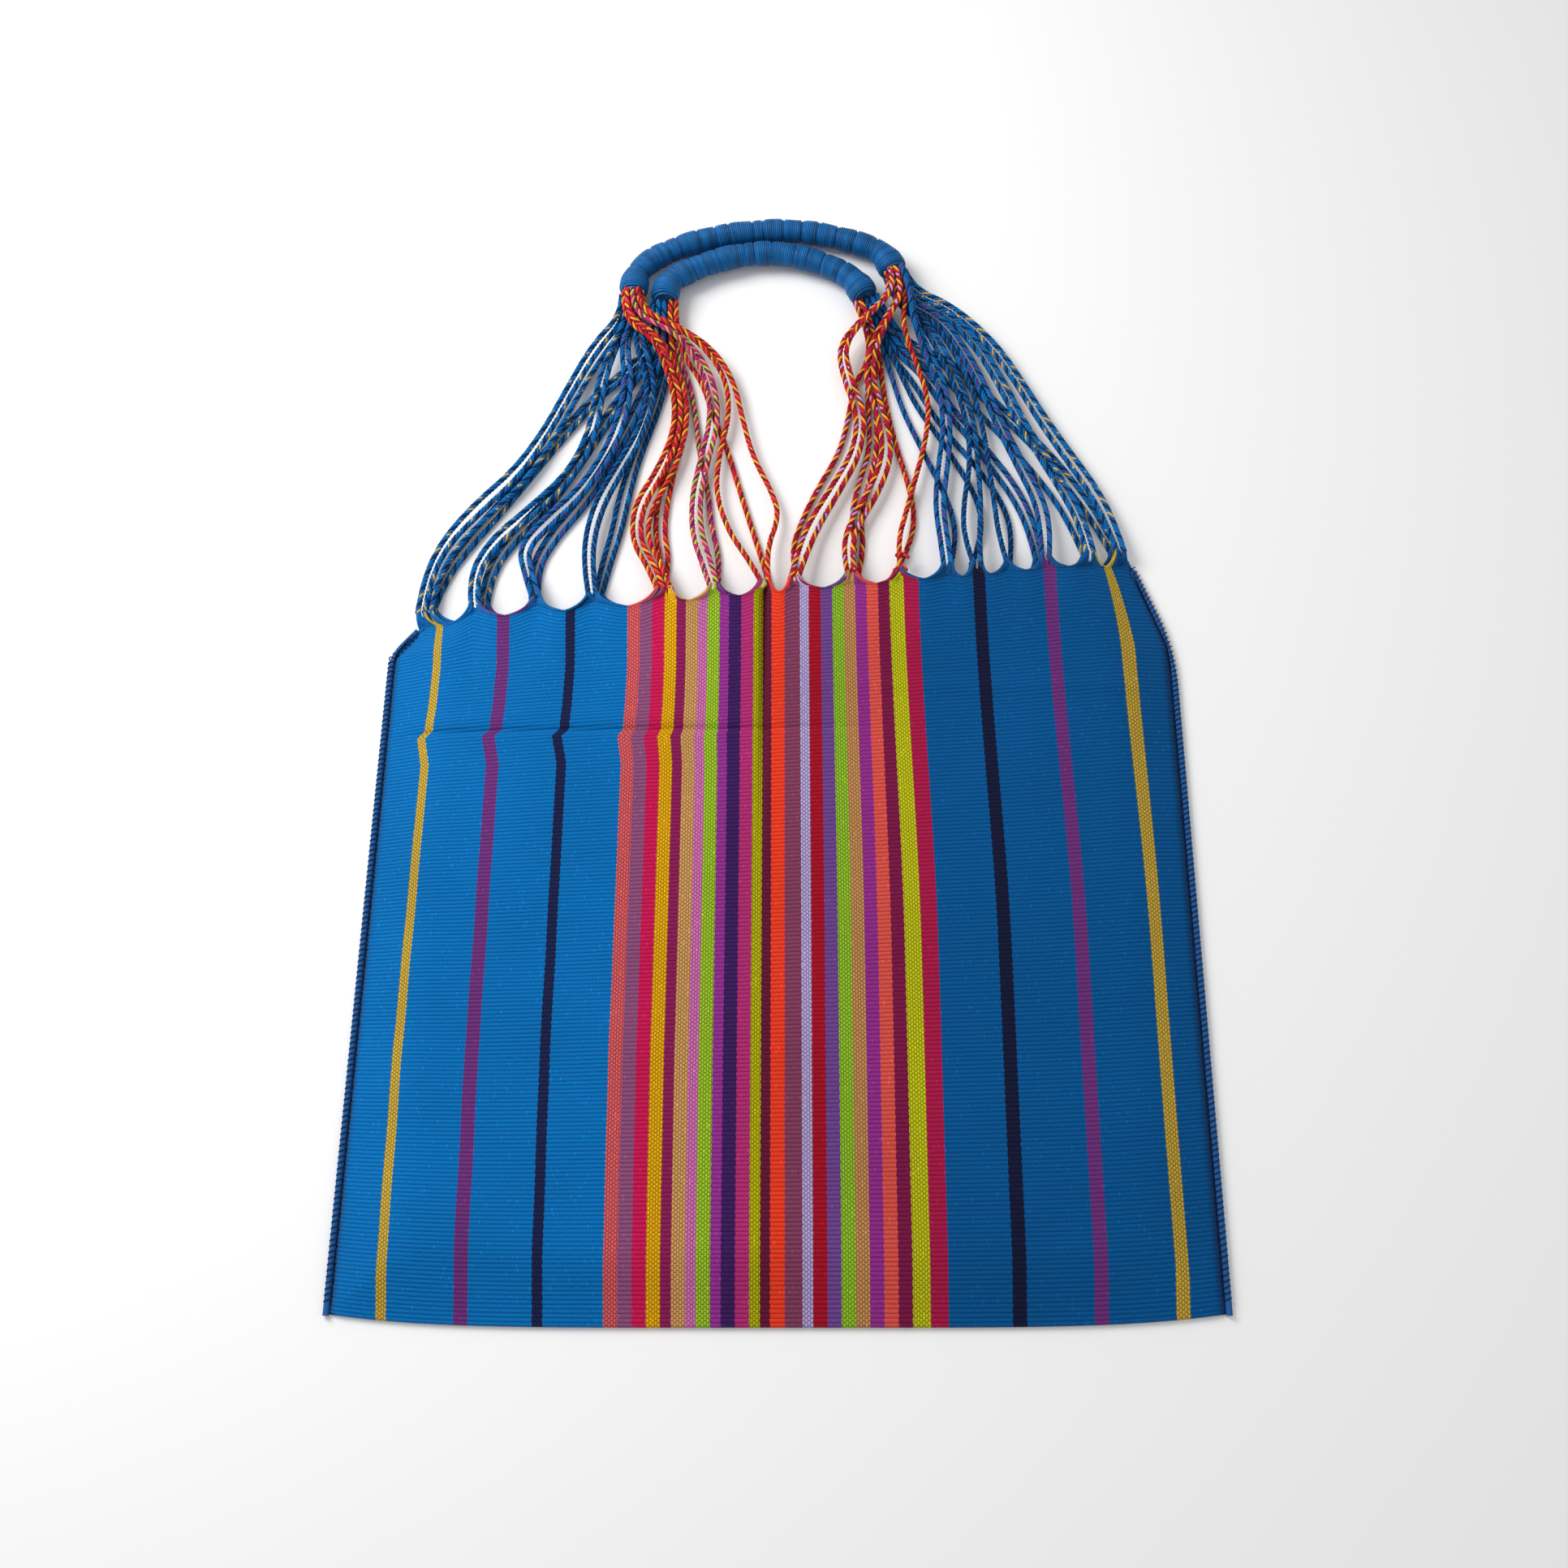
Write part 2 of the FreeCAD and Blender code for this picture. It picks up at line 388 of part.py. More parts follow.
# The bunches of cords. The cords are limp: their own weight bends them round 3 diameters.
cord_section = math.pi * cord_radius ** 2
for face in ("front", "back"):
    bunches = {}
    smallest_radius = math.inf
    largest_error = 0.0
    for number, route in bunch_routes(face):
        rod, length, radii = laid_rod(route, cord_radius)
        bunches.setdefault(number, []).append(rod)
        smallest_radius = min(smallest_radius, min(radii))
        error = abs(rod.Volume - cord_section * length) / (cord_section * length)
        largest_error = max(largest_error, error)
        print(f"{face} bunch {number:02d}: cord {length:.0f} mm, smallest radius {min(radii):.1f} mm, "
              f"{rod.Volume:.0f} mm3 against {cord_section * length:.0f} mm3")
    print(f"{face} cords: smallest radius {smallest_radius:.1f} mm, "
          f"largest difference in volume {100 * largest_error:.2f} %")
    for number, rods in bunches.items():
        Part.makeCompound(rods).exportStep(f"parts/{face}_bunch_{number:02d}.step")

# The two handles: a core of doubled cords, the yarn wound round it, and a thicker binding at each end
for face, line in (("front", front_handle_line), ("back", back_handle_line)):
    points = [vector(x, y, handle_z) for x, y in line]
    core = laid_rod(points, core_diameter / 2)[0]
    wrap = laid_rod(points, handle_diameter / 2)[0].cut(laid_rod(points, wrap_bore_diameter / 2)[0])
    core.exportStep(f"parts/{face}_handle_core.step")
    wrap.exportStep(f"parts/{face}_handle_wrap.step")
    binding = laid_rod(points, binding_diameter / 2)[0].cut(laid_rod(points, binding_bore_diameter / 2)[0])
    for side, first in (("left", True), ("right", False)):
        middle, outwards = handle_end(line, first)
        bound_length = Part.makeCylinder(binding_diameter, binding_length, middle, outwards * -1)
        binding.common(bound_length).exportStep(f"parts/{face}_handle_{side}_binding.step")
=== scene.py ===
import math

import bpy
import numpy as np
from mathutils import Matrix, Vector


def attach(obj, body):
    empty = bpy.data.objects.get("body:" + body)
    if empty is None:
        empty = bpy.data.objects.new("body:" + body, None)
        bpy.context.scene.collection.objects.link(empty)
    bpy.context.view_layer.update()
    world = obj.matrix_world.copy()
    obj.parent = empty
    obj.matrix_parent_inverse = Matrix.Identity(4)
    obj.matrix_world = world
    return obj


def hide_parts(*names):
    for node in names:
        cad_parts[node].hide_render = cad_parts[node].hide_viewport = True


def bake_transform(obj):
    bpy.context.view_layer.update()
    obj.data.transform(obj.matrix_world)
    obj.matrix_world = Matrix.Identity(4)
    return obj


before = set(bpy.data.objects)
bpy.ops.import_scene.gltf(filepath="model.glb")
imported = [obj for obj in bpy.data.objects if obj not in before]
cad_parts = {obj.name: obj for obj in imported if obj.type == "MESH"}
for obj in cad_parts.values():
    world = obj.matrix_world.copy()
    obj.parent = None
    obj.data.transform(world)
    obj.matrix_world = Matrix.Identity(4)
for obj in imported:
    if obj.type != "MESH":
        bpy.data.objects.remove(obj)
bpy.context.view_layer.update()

# Camera, table and light. The bag lies on a pale table, seen from its bottom end and mostly from above,
# with a large soft lamp over its left shoulder and paper-white surroundings.
camera_data = bpy.data.cameras.new("camera")
camera_data.sensor_width = 36.0
camera_data.lens = 38.8
camera = bpy.data.objects.new("camera", camera_data)
camera.location = (0.0028, -0.3204, 0.7790)
camera.rotation_euler = (math.radians(20), 0, 0)
bpy.context.scene.collection.objects.link(camera)
bpy.context.scene.camera = camera

table_size = 4.0
table_mesh = bpy.data.meshes.new("table")
table_mesh.from_pydata([(-table_size / 2, -table_size / 2, 0), (table_size / 2, -table_size / 2, 0),
                        (table_size / 2, table_size / 2, 0), (-table_size / 2, table_size / 2, 0)],
                       [], [(0, 1, 2, 3)])
table = bpy.data.objects.new("table", table_mesh)
bpy.context.scene.collection.objects.link(table)
table_paint = bpy.data.materials.new("white_table")
table_paint.use_nodes = True
table_paint.node_tree.nodes["Principled BSDF"].inputs["Base Color"].default_value = (0.9, 0.9, 0.9, 1)
table_paint.node_tree.nodes["Principled BSDF"].inputs["Roughness"].default_value = 0.9
table_mesh.materials.append(table_paint)


def soft_lamp(name, place, aim, size, power):
    lamp = bpy.data.lights.new(name, "AREA")
    lamp.size = size
    lamp.energy = power
    stand = bpy.data.objects.new(name, lamp)
    stand.location = place
    stand.rotation_euler = (Vector(aim) - Vector(place)).to_track_quat("-Z", "Y").to_euler()
    bpy.context.scene.collection.objects.link(stand)


soft_lamp("window_light", (-0.7, 0.45, 0.75), (-0.05, 0, 0), 0.6, 11)
soft_lamp("fill_light", (0.9, -0.5, 1.3), (0, 0, 0), 1.4, 1.5)
surroundings = bpy.data.worlds.new("studio")
surroundings.use_nodes = True
surroundings.node_tree.nodes["Background"].inputs["Color"].default_value = (1, 1, 1, 1)
surroundings.node_tree.nodes["Background"].inputs["Strength"].default_value = 0.56
bpy.context.scene.world = surroundings
bpy.context.scene.view_settings.view_transform = "Standard"

# Twisted cords. Warp ends of each panel are drawn together in bunches and twisted, four plies to a cord, and
# the cords run up into the ends of a handle. They are limp cotton, free between the cloth and the handle.
bottom_y = -0.291
mouth_y = 0.062
mouth_slope = 0.0939         # the mouth climbs this much for each metre to the right
fan_height = 0.007
root_clearance = 0.0008
back_panel_rise = 0.003
cord_pitch = 0.0032
neck_length = 0.016
handle_z = 0.008
handle_top_y = 0.2845

front_handle_line = [(-0.079, 0.243), (-0.079, 0.256), (-0.067, 0.268), (-0.042, 0.279),
                     (-0.012, handle_top_y), (0.014, handle_top_y), (0.04, 0.278), (0.059, 0.27),
                     (0.063, 0.257)]
back_handle_line = [(-0.062, 0.239), (-0.062, 0.249), (-0.052, 0.257), (-0.032, 0.266), (-0.011, 0.2705),
                    (0.01, 0.2685), (0.03, 0.2605), (0.043, 0.251), (0.047, 0.241)]

# What many cords share: the distance of a single cord and of the two cords of a pair from the middle of
# their bunch, and the height of the back cords, on the table, and of the front ones, which lie over them.
straight = (0,) * 8
left_of_pair = (-0.0018, -0.002, -0.0024, -0.002, -0.0018, -0.0022, -0.0018)
right_of_pair = (0.0018, 0.002, 0.0024, 0.003, 0.002, 0.0018, 0.0018)
on_table = (0.0015,) * 5
over_back = (0.0049,) * 4

# Each bunch has the line of its middle in plan, and for each cord its distance to the right of that line and
# its height at each point, and then its place in the handle end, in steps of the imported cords.
front_left_bunches = [
    (-0.179, [(-0.178, 0.07), (-0.169, 0.092), (-0.153, 0.113), (-0.135, 0.134), (-0.12, 0.158),
              (-0.109, 0.184), (-0.097, 0.21)],
     [((-0.0033, -0.0034, -0.005, -0.0055, -0.004, -0.0045, -0.0042, -0.0033),
       (0.0052, *over_back, 0.0049, 0.0076), (-2, -0.1)),
      ((0, 0.0002, -0.001, 0.0005, 0.0008, -0.0008, -0.0006, 0),
       (0.0052, *over_back, 0.0049, 0.0051), (-1.5, -1.1)),
      ((0.0033, 0.0036, 0.0035, 0.0048, 0.0052, 0.003, 0.0032, 0.0033),
       (0.0052, *over_back, 0.0049, 0.0027), (-1, -2.1))]),
    (-0.153, [(-0.156, 0.072), (-0.147, 0.093), (-0.127, 0.112), (-0.108, 0.134), (-0.098, 0.16),
              (-0.095, 0.186), (-0.089, 0.21)],
     [((-0.0018, -0.0018, -0.0025, -0.003, -0.002, -0.0018, -0.002, -0.0008),
       (0.007, *over_back, 0.0063, 0.0076), (-1, -0.1)),
      ((0.0018, 0.0018, 0.002, 0.002, 0.0026, 0.0024, 0.0018, 0.0008),
       (0.007, *over_back, 0.0061, 0.0048), (-0.5, -1.1))]),
    (-0.122, [(-0.127, 0.073), (-0.131, 0.09), (-0.119, 0.105), (-0.103, 0.123), (-0.09, 0.146),
              (-0.082, 0.17), (-0.08, 0.19), (-0.083, 0.21)],
     [((-0.0018, -0.0018, -0.0028, -0.0034, -0.002, -0.0018, -0.0022, -0.0018, -0.0016),
       (0.007, *over_back, 0.0049, 0.007, 0.009), (0, -0.1)),
      ((0.0018, 0.0018, 0.0018, 0.002, 0.0022, 0.003, 0.0018, 0.0018, 0.0016),
       (0.007, *over_back, 0.0049, 0.0072, 0.0078), (0, -2.1))]),
    (-0.094, [(-0.097, 0.077), (-0.097, 0.097), (-0.093, 0.118), (-0.082, 0.14), (-0.071, 0.162),
              (-0.067, 0.186), (-0.074, 0.208)],
     [((-0.0018, -0.002, -0.0026, -0.002, -0.0018, -0.002, -0.0018, -0.002),
       (0.007, *over_back, 0.0066, 0.0089), (0.5, -1.1)),
      ((0.0018, 0.0022, 0.002, 0.003, 0.0024, 0.0018, 0.0018, 0.002),
       (0.007, *over_back, 0.0068, 0.0093), (1, -0.1))]),
    (-0.058, [(-0.063, 0.079), (-0.071, 0.095), (-0.07, 0.114), (-0.06, 0.134), (-0.052, 0.158),
              (-0.052, 0.181), (-0.058, 0.198), (-0.065, 0.213)],
     [((-0.0033, -0.0034, -0.0046, -0.0052, -0.004, -0.0034, -0.0033, -0.0026, -0.0017),
       (0.007, *over_back, 0.0054, 0.008, 0.0121), (-1.5, 1.05)),
      ((0, 0, -0.0005, -0.0006, 0, 0, 0, 0, 0), (0.007, *over_back, 0.0056, 0.01, 0.0146), (-1, 2.05)),
      ((0.0033, 0.0035, 0.0032, 0.0042, 0.0044, 0.0035, 0.0033, 0.0026, 0.0017),
       (0.007, *over_back, 0.0054, 0.008, 0.0118), (-0.5, 1.05))]),
    (-0.033, [(-0.037, 0.082), (-0.042, 0.099), (-0.043, 0.12), (-0.039, 0.143), (-0.034, 0.166),
              (-0.036, 0.188), (-0.044, 0.204), (-0.057, 0.217)],
     [((-0.0018, -0.0024, -0.0026, -0.0022, -0.0018, -0.002, -0.0018, -0.0016, -0.001),
       (0.007, *over_back, 0.0058, 0.0104, 0.0145), (0, 2.05)),
      ((0.0018, 0.0022, 0.002, 0.002, 0.0022, 0.0024, 0.0018, 0.0016, 0.001),
       (0.007, *over_back, 0.0058, 0.009, 0.0116), (0.5, 1.05))]),
    (-0.007, [(-0.013, 0.084), (-0.022, 0.101), (-0.027, 0.123), (-0.024, 0.146), (-0.022, 0.169),
              (-0.026, 0.19), (-0.036, 0.206), (-0.053, 0.2185)],
     [((-0.0018, -0.0026, -0.004, -0.006, -0.007, -0.004, -0.0018, -0.0016, -0.001),
       (0.007, *over_back, 0.0058, 0.0104, 0.0145), (1, 2.05)),
      ((0.0018, 0.007, 0.024, 0.023, 0.01, 0.0024, 0.0018, 0.0016, 0.001),
       (0.007, *over_back, 0.0058, 0.009, 0.0118), (1.5, 1.05))]),
]
front_right_bunches = [
    (0.008, [(0.012, 0.086), (0.019, 0.104), (0.03, 0.125), (0.041, 0.147), (0.044, 0.17), (0.037, 0.191),
             (0.033, 0.209), (0.046, 0.225)],
     [((-0.0018, -0.0024, -0.0035, -0.0026, -0.0018, -0.002, -0.0024, -0.0016, -0.001),
       (0.007, *over_back, 0.0056, 0.009, 0.0118), (-1.5, 1.05)),
      ((0.0018, 0.0022, 0.002, 0.0022, 0.0024, 0.0018, 0.0018, 0.0016, 0.001),
       (0.007, *over_back, 0.0056, 0.0104, 0.0145), (-1, 2.05))]),
    (0.037, [(0.035, 0.089), (0.04, 0.106), (0.05, 0.125), (0.057, 0.146), (0.055, 0.168), (0.048, 0.189),
             (0.05, 0.208), (0.058, 0.2245)],
     [((-0.0018, -0.0024, -0.0026, -0.002, -0.0018, -0.002, -0.0018, -0.0017, -0.001),
       (0.007, *over_back, 0.0063, 0.0092, 0.0118), (-0.5, 1.05)),
      ((0.0018, 0.002, 0.002, 0.003, 0.0028, 0.0018, 0.0018, 0.0017, 0.001),
       (0.007, *over_back, 0.0063, 0.0102, 0.0145), (0, 2.05))]),
    (0.062, [(0.061, 0.092), (0.066, 0.111), (0.072, 0.133), (0.078, 0.156), (0.08, 0.179), (0.073, 0.202),
             (0.066, 0.222)],
     [(straight, (0.007, *over_back, 0.0069, 0.0118), (0.5, 1.05))]),
    (0.086, [(0.085, 0.095), (0.083, 0.115), (0.086, 0.137), (0.089, 0.16), (0.088, 0.184), (0.08, 0.205),
             (0.072, 0.225)],
     [((-0.0018, -0.002, -0.0018, -0.0026, -0.002, -0.0018, -0.0018, -0.0008),
       (0.007, *over_back, 0.0083, 0.0145), (1, 2.05)),
      ((0.0018, 0.0018, 0.002, 0.0022, 0.0018, 0.0018, 0.0018, 0.0008),
       (0.007, 0.0049, 0.0049, 0.0049, 0.0056, 0.0068, 0.0116), (1.5, 1.05))]),
    (0.101, [(0.098, 0.096), (0.099, 0.116), (0.102, 0.138), (0.102, 0.161), (0.097, 0.184), (0.088, 0.206),
             (0.078, 0.227)],
     [((-0.0018, -0.003, -0.003, -0.0018, -0.0018, -0.0018, -0.0018, -0.0008),
       (0.007, *over_back, 0.0072, 0.0052), (-1.5, -1.1)),
      ((0.0018, 0.005, 0.006, 0.0024, 0.0018, 0.0018, 0.0018, 0.0008),
       (0.007, *over_back, 0.0079, 0.008), (-1, -0.1))]),
    (0.116, [(0.113, 0.097), (0.112, 0.117), (0.11, 0.139), (0.108, 0.162), (0.103, 0.186), (0.094, 0.208),
             (0.083, 0.2285)],
     [(straight, (0.007, *over_back, 0.0064, 0.0052), (-0.5, -1.1))]),
    (0.136, [(0.138, 0.099), (0.136, 0.118), (0.127, 0.138), (0.118, 0.16), (0.11, 0.183), (0.1, 0.207),
             (0.088, 0.2295)],
     [((-0.0018, -0.0032, -0.003, -0.002, -0.0018, -0.0018, -0.0018, -0.0008),
       (0.007, 0.0049, 0.0049, 0.0049, 0.0051, 0.0059, 0.0018), (0, -2.1)),
      ((0.0018, 0.0018, 0.0018, 0.002, 0.0018, 0.0018, 0.0018, 0.0008),
       (0.007, 0.0049, 0.0049, 0.0049, 0.0051, 0.0059, 0.0066), (0, -0.1))]),
    (0.159, [(0.157, 0.102), (0.15, 0.122), (0.139, 0.143), (0.128, 0.165), (0.119, 0.188), (0.108, 0.211),
             (0.093, 0.2315)],
     [((-0.0018, -0.0018, -0.0022, -0.0018, -0.0018, -0.0018, -0.0018, -0.0008),
       (0.0066, *over_back, 0.0049, 0.0034), (0.5, -1.1)),
      ((0.0018, 0.0018, 0.0018, 0.0022, 0.0018, 0.0018, 0.0018, 0.0008),
       (0.0066, *over_back, 0.0056, 0.0065), (1, -0.1))]),
    (0.175, [(0.171, 0.104), (0.163, 0.124), (0.151, 0.145), (0.139, 0.167), (0.128, 0.19), (0.115, 0.213),
             (0.094, 0.236)],
     [((-0.0018, -0.0018, -0.0018, -0.0018, -0.002, -0.0018, -0.0018, -0.0008),
       (0.006, *over_back, 0.0049, 0.0038), (1.5, -1.1)),
      ((0.0018, 0.0024, 0.003, 0.0026, 0.0022, 0.0018, 0.0018, 0.0008),
       (0.006, *over_back, 0.0056, 0.0069), (2, -0.1))]),
]
back_left_bunches = [
    (-0.177, [(-0.172, 0.075), (-0.16, 0.095), (-0.145, 0.116), (-0.129, 0.138), (-0.113, 0.161),
              (-0.096, 0.184), (-0.0716, 0.205)],
     [((*left_of_pair, -0.0016), (*on_table, 0.0015, 0.005), (-2, -0.1)),
      ((*right_of_pair, 0.0016), (*on_table, 0.0024, 0.0034), (-1.5, -1.1))]),
    (-0.15, [(-0.149, 0.077), (-0.138, 0.097), (-0.121, 0.118), (-0.106, 0.141), (-0.093, 0.165),
             (-0.081, 0.187), (-0.0675, 0.205)],
     [((*left_of_pair, 0), (*on_table, 0.0015, 0.0016), (-1, -2.1)),
      ((*right_of_pair, 0), (*on_table, 0.003, 0.0052), (-1, -0.1))]),
    (-0.124, [(-0.126, 0.078), (-0.118, 0.097), (-0.103, 0.118), (-0.09, 0.141), (-0.079, 0.165),
              (-0.071, 0.187), (-0.0634, 0.205)],
     [((*left_of_pair, -0.0014), (*on_table, 0.002, 0.0034), (-0.5, -1.1)),
      ((*right_of_pair, 0.0014), (*on_table, 0.003, 0.0052), (0, -0.1))]),
    (-0.092, [(-0.089, 0.081), (-0.084, 0.101), (-0.081, 0.123), (-0.075, 0.146), (-0.067, 0.169),
              (-0.0625, 0.189), (-0.0606, 0.205)],
     [((*left_of_pair, -0.0014), (*on_table, 0.0015, 0.0016), (0, -2.1)),
      ((*right_of_pair, 0.0014), (*on_table, 0.002, 0.0034), (0.5, -1.1))]),
    (-0.06, [(-0.058, 0.083), (-0.062, 0.103), (-0.06, 0.125), (-0.055, 0.147), (-0.053, 0.169),
             (-0.054, 0.189), (-0.0565, 0.205)],
     [((*left_of_pair, 0), (*on_table, 0.0015, 0.0016), (1, -2.1)),
      ((*right_of_pair, 0), (*on_table, 0.003, 0.0052), (1, -0.1))]),
    (-0.031, [(-0.03, 0.085), (-0.035, 0.105), (-0.037, 0.127), (-0.042, 0.149), (-0.044, 0.17),
              (-0.0475, 0.19), (-0.0538, 0.205)],
     [(straight, (*on_table, 0.002, 0.0034), (1.5, -1.1))]),
    (-0.005, [(-0.009, 0.087), (-0.015, 0.107), (-0.021, 0.128), (-0.027, 0.15), (-0.035, 0.171),
              (-0.041, 0.191), (-0.051, 0.205)],
     [(straight, (*on_table, 0.003, 0.0052), (2, -0.1))]),
]
back_right_bunches = [
    (0.01, [(0.006, 0.088), (0.012, 0.108), (0.021, 0.128), (0.032, 0.148), (0.037, 0.169), (0.04, 0.189),
            (0.0494, 0.2053)],
     [(straight, (*on_table, 0.0015, 0.0048), (-2, -0.1))]),
    (0.039, [(0.042, 0.09), (0.04, 0.11), (0.044, 0.13), (0.05, 0.15), (0.05, 0.171), (0.049, 0.191),
             (0.0532, 0.2069)],
     [((*left_of_pair, -0.0014), (*on_table, 0.002, 0.0034), (-1.5, -1.1)),
      ((*right_of_pair, 0.0014), (*on_table, 0.003, 0.0052), (-1, -0.1))]),
    (0.06, [(0.068, 0.093), (0.071, 0.113), (0.067, 0.133), (0.062, 0.152), (0.058, 0.172), (0.0555, 0.191),
            (0.0545, 0.2074)],
     [(straight, (*on_table, 0.0015, 0.0016), (-1, -2.1))]),
    (0.088, [(0.092, 0.095), (0.09, 0.115), (0.082, 0.135), (0.074, 0.154), (0.066, 0.174), (0.061, 0.193),
             (0.057, 0.2084)],
     [(straight, (*on_table, 0.002, 0.0034), (-0.5, -1.1))]),
    (0.099, [(0.105, 0.097), (0.105, 0.117), (0.096, 0.137), (0.086, 0.156), (0.074, 0.175), (0.066, 0.194),
             (0.0596, 0.2094)],
     [(straight, (*on_table, 0.003, 0.0052), (0, -0.1))]),
    (0.119, [(0.121, 0.099), (0.117, 0.118), (0.106, 0.137), (0.092, 0.156), (0.08, 0.175), (0.071, 0.194),
             (0.0596, 0.2094)],
     [(straight, (*on_table, 0.0015, 0.0016), (0, -2.1))]),
    (0.134, [(0.132, 0.1), (0.126, 0.119), (0.115, 0.138), (0.102, 0.158), (0.089, 0.178), (0.078, 0.197),
             (0.0634, 0.2109)],
     [((*left_of_pair, -0.0014), (*on_table, 0.002, 0.0034), (0.5, -1.1)),
      ((*right_of_pair, 0.0014), (*on_table, 0.0032, 0.0054), (1, -0.1))]),
    (0.157, [(0.152, 0.103), (0.143, 0.122), (0.13, 0.142), (0.115, 0.162), (0.099, 0.182), (0.084, 0.199),
             (0.0647, 0.2114)],
     [(straight, (*on_table, 0.0015, 0.0016), (1, -2.1))]),
    (0.173, [(0.166, 0.106), (0.155, 0.126), (0.141, 0.146), (0.125, 0.166), (0.108, 0.186), (0.092, 0.203),
             (0.0685, 0.213)],
     [((*left_of_pair, -0.0014), (*on_table, 0.002, 0.0034), (1.5, -1.1)),
      ((*right_of_pair, 0.0014), (*on_table, 0.0025, 0.0052), (2, -0.1))]),
]


def mouth_at(x):
    """The woven edge of the front panel."""
    return mouth_y + mouth_slope * x


def front_height(x):
    """Top of the front panel along the mouth: pressed flat at the side seams, full height in the middle."""
    inwards = max(0.0, min(x + 0.196, 0.2 - x, 0.03))
    return 0.0024 + 0.0084 * inwards / 0.03


def cord_points(root, points, cord, root_height, beyond_mouth, line, first):
    """The points that one cord follows, from the cloth to its place in the handle end."""
    sides, heights, (step_right, step_up) = cord
    start_x = root + sides[0]
    start = np.array((start_x, mouth_at(start_x) + beyond_mouth + fan_height + root_clearance))
    end_point, next_point = (line[0], line[1]) if first else (line[-1], line[-2])
    end_middle = np.array(end_point)
    outwards = (end_middle - next_point) / np.linalg.norm(end_middle - next_point)
    end_right = np.array((-outwards[1], outwards[0]))
    neck = end_middle + outwards * neck_length
    middle_line = [start - (sides[0], 0)] + [np.array(point) for point in points]
    arriving = neck - middle_line[-1]
    turn = math.atan2(-arriving[0] * outwards[1] + arriving[1] * outwards[0], -arriving @ outwards)
    middle_line.append(neck)
    route = [(*start, root_height)]
    for number, height in enumerate(heights, start=1):
        along = middle_line[number + 1] - middle_line[number - 1]
        right = np.array((along[1], -along[0])) / np.linalg.norm(along)
        route.append((*(middle_line[number] + right * sides[number]), height))
    place = end_middle + end_right * step_right * cord_pitch
    place_height = handle_z + step_up * cord_pitch * math.sin(math.radians(60))
    mitre = step_right * cord_pitch * math.tan(turn / 2)
    route.append((*(place + outwards * (neck_length + mitre)), place_height))
    route.append((*place, place_height))
    return route


def spline_points(name, points):
    """The smooth line that a cord takes through its points."""
    line = bpy.data.curves.new(name, "CURVE")
    line.dimensions = "3D"
    spline = line.splines.new("NURBS")
    spline.points.add(len(points) - 1)
    for point, place in zip(spline.points, points):
        point.co = (*place, 1)
    spline.order_u = 3
    spline.use_endpoint_u = True
    spline.resolution_u = 12
    holder = bpy.data.objects.new(name, line)
    bpy.context.scene.collection.objects.link(holder)
    drawn = bpy.data.meshes.new_from_object(holder)
    places = [tuple(vertex.co) for vertex in drawn.vertices]
    bpy.data.meshes.remove(drawn)
    bpy.data.objects.remove(holder)
    return places


def add_node(tree, kind, inputs=(), **settings):
    """Adds a node, with its settings, and with each of its inputs linked or set."""
    node = tree.nodes.new(kind)
    for name, value in settings.items():
        setattr(node, name, value)
    for name, value in dict(inputs).items():
        if isinstance(value, bpy.types.NodeSocket):
            tree.links.new(value, node.inputs[name])
        else:
            node.inputs[name].default_value = value
    return node


def maths(tree, operation, *values):
    """A Math node on the values, which may be sockets or numbers."""
    return add_node(tree, "ShaderNodeMath", enumerate(values), operation=operation).outputs[0]


def vector_maths(tree, operation, inputs):
    return add_node(tree, "ShaderNodeVectorMath", inputs, operation=operation).outputs["Vector"]


def humps(tree, angle):
    """Round humps with sharp valleys between them, one for each half turn of the angle."""
    return maths(tree, "ABSOLUTE", maths(tree, "SINE", angle))


def varied(tree, noise, low, high):
    """The middle range of a noise, spread from low to high."""
    return add_node(tree, "ShaderNodeMapRange", {
        "Value": noise, "From Min": 0.3, "From Max": 0.7, "To Min": low, "To Max": high}).outputs[0]


def new_tree(name, inputs):
    """An empty Geometry Nodes tree with a geometry input, the named inputs and a geometry output."""
    tree = bpy.data.node_groups.new(name, "GeometryNodeTree")
    tree.interface.new_socket("Geometry", in_out="INPUT", socket_type="NodeSocketGeometry")
    for label, kind in inputs.items():
        tree.interface.new_socket(label, in_out="INPUT", socket_type=kind)
    tree.interface.new_socket("Geometry", in_out="OUTPUT", socket_type="NodeSocketGeometry")
    return tree, tree.nodes.new("NodeGroupInput").outputs


def close_tree(tree, geometry, material):
    realized = add_node(tree, "GeometryNodeRealizeInstances", {"Geometry": geometry})
    finished = add_node(tree, "GeometryNodeSetMaterial",
                        {"Geometry": realized.outputs["Geometry"], "Material": material})
    add_node(tree, "NodeGroupOutput", {"Geometry": finished.outputs["Geometry"]})


def worked_mesh(tree, start_mesh, values):
    """The plain mesh that a Geometry Nodes tree makes from a starting mesh."""
    holder = bpy.data.objects.new("work", start_mesh)
    bpy.context.scene.collection.objects.link(holder)
    modifier = holder.modifiers.new("work", "NODES")
    modifier.node_group = tree
    for item in tree.interface.items_tree:
        if item.in_out == "INPUT" and item.name in values:
            modifier[item.identifier] = values[item.name]
    evaluated = holder.evaluated_get(bpy.context.evaluated_depsgraph_get())
    made = bpy.data.meshes.new_from_object(evaluated)
    bpy.data.objects.remove(holder)
    return made


def placed(name, mesh):
    """A finished mesh as a piece, at the origin."""
    mesh.name = name
    piece = bpy.data.objects.new(name, mesh)
    bpy.context.scene.collection.objects.link(piece)
    return piece


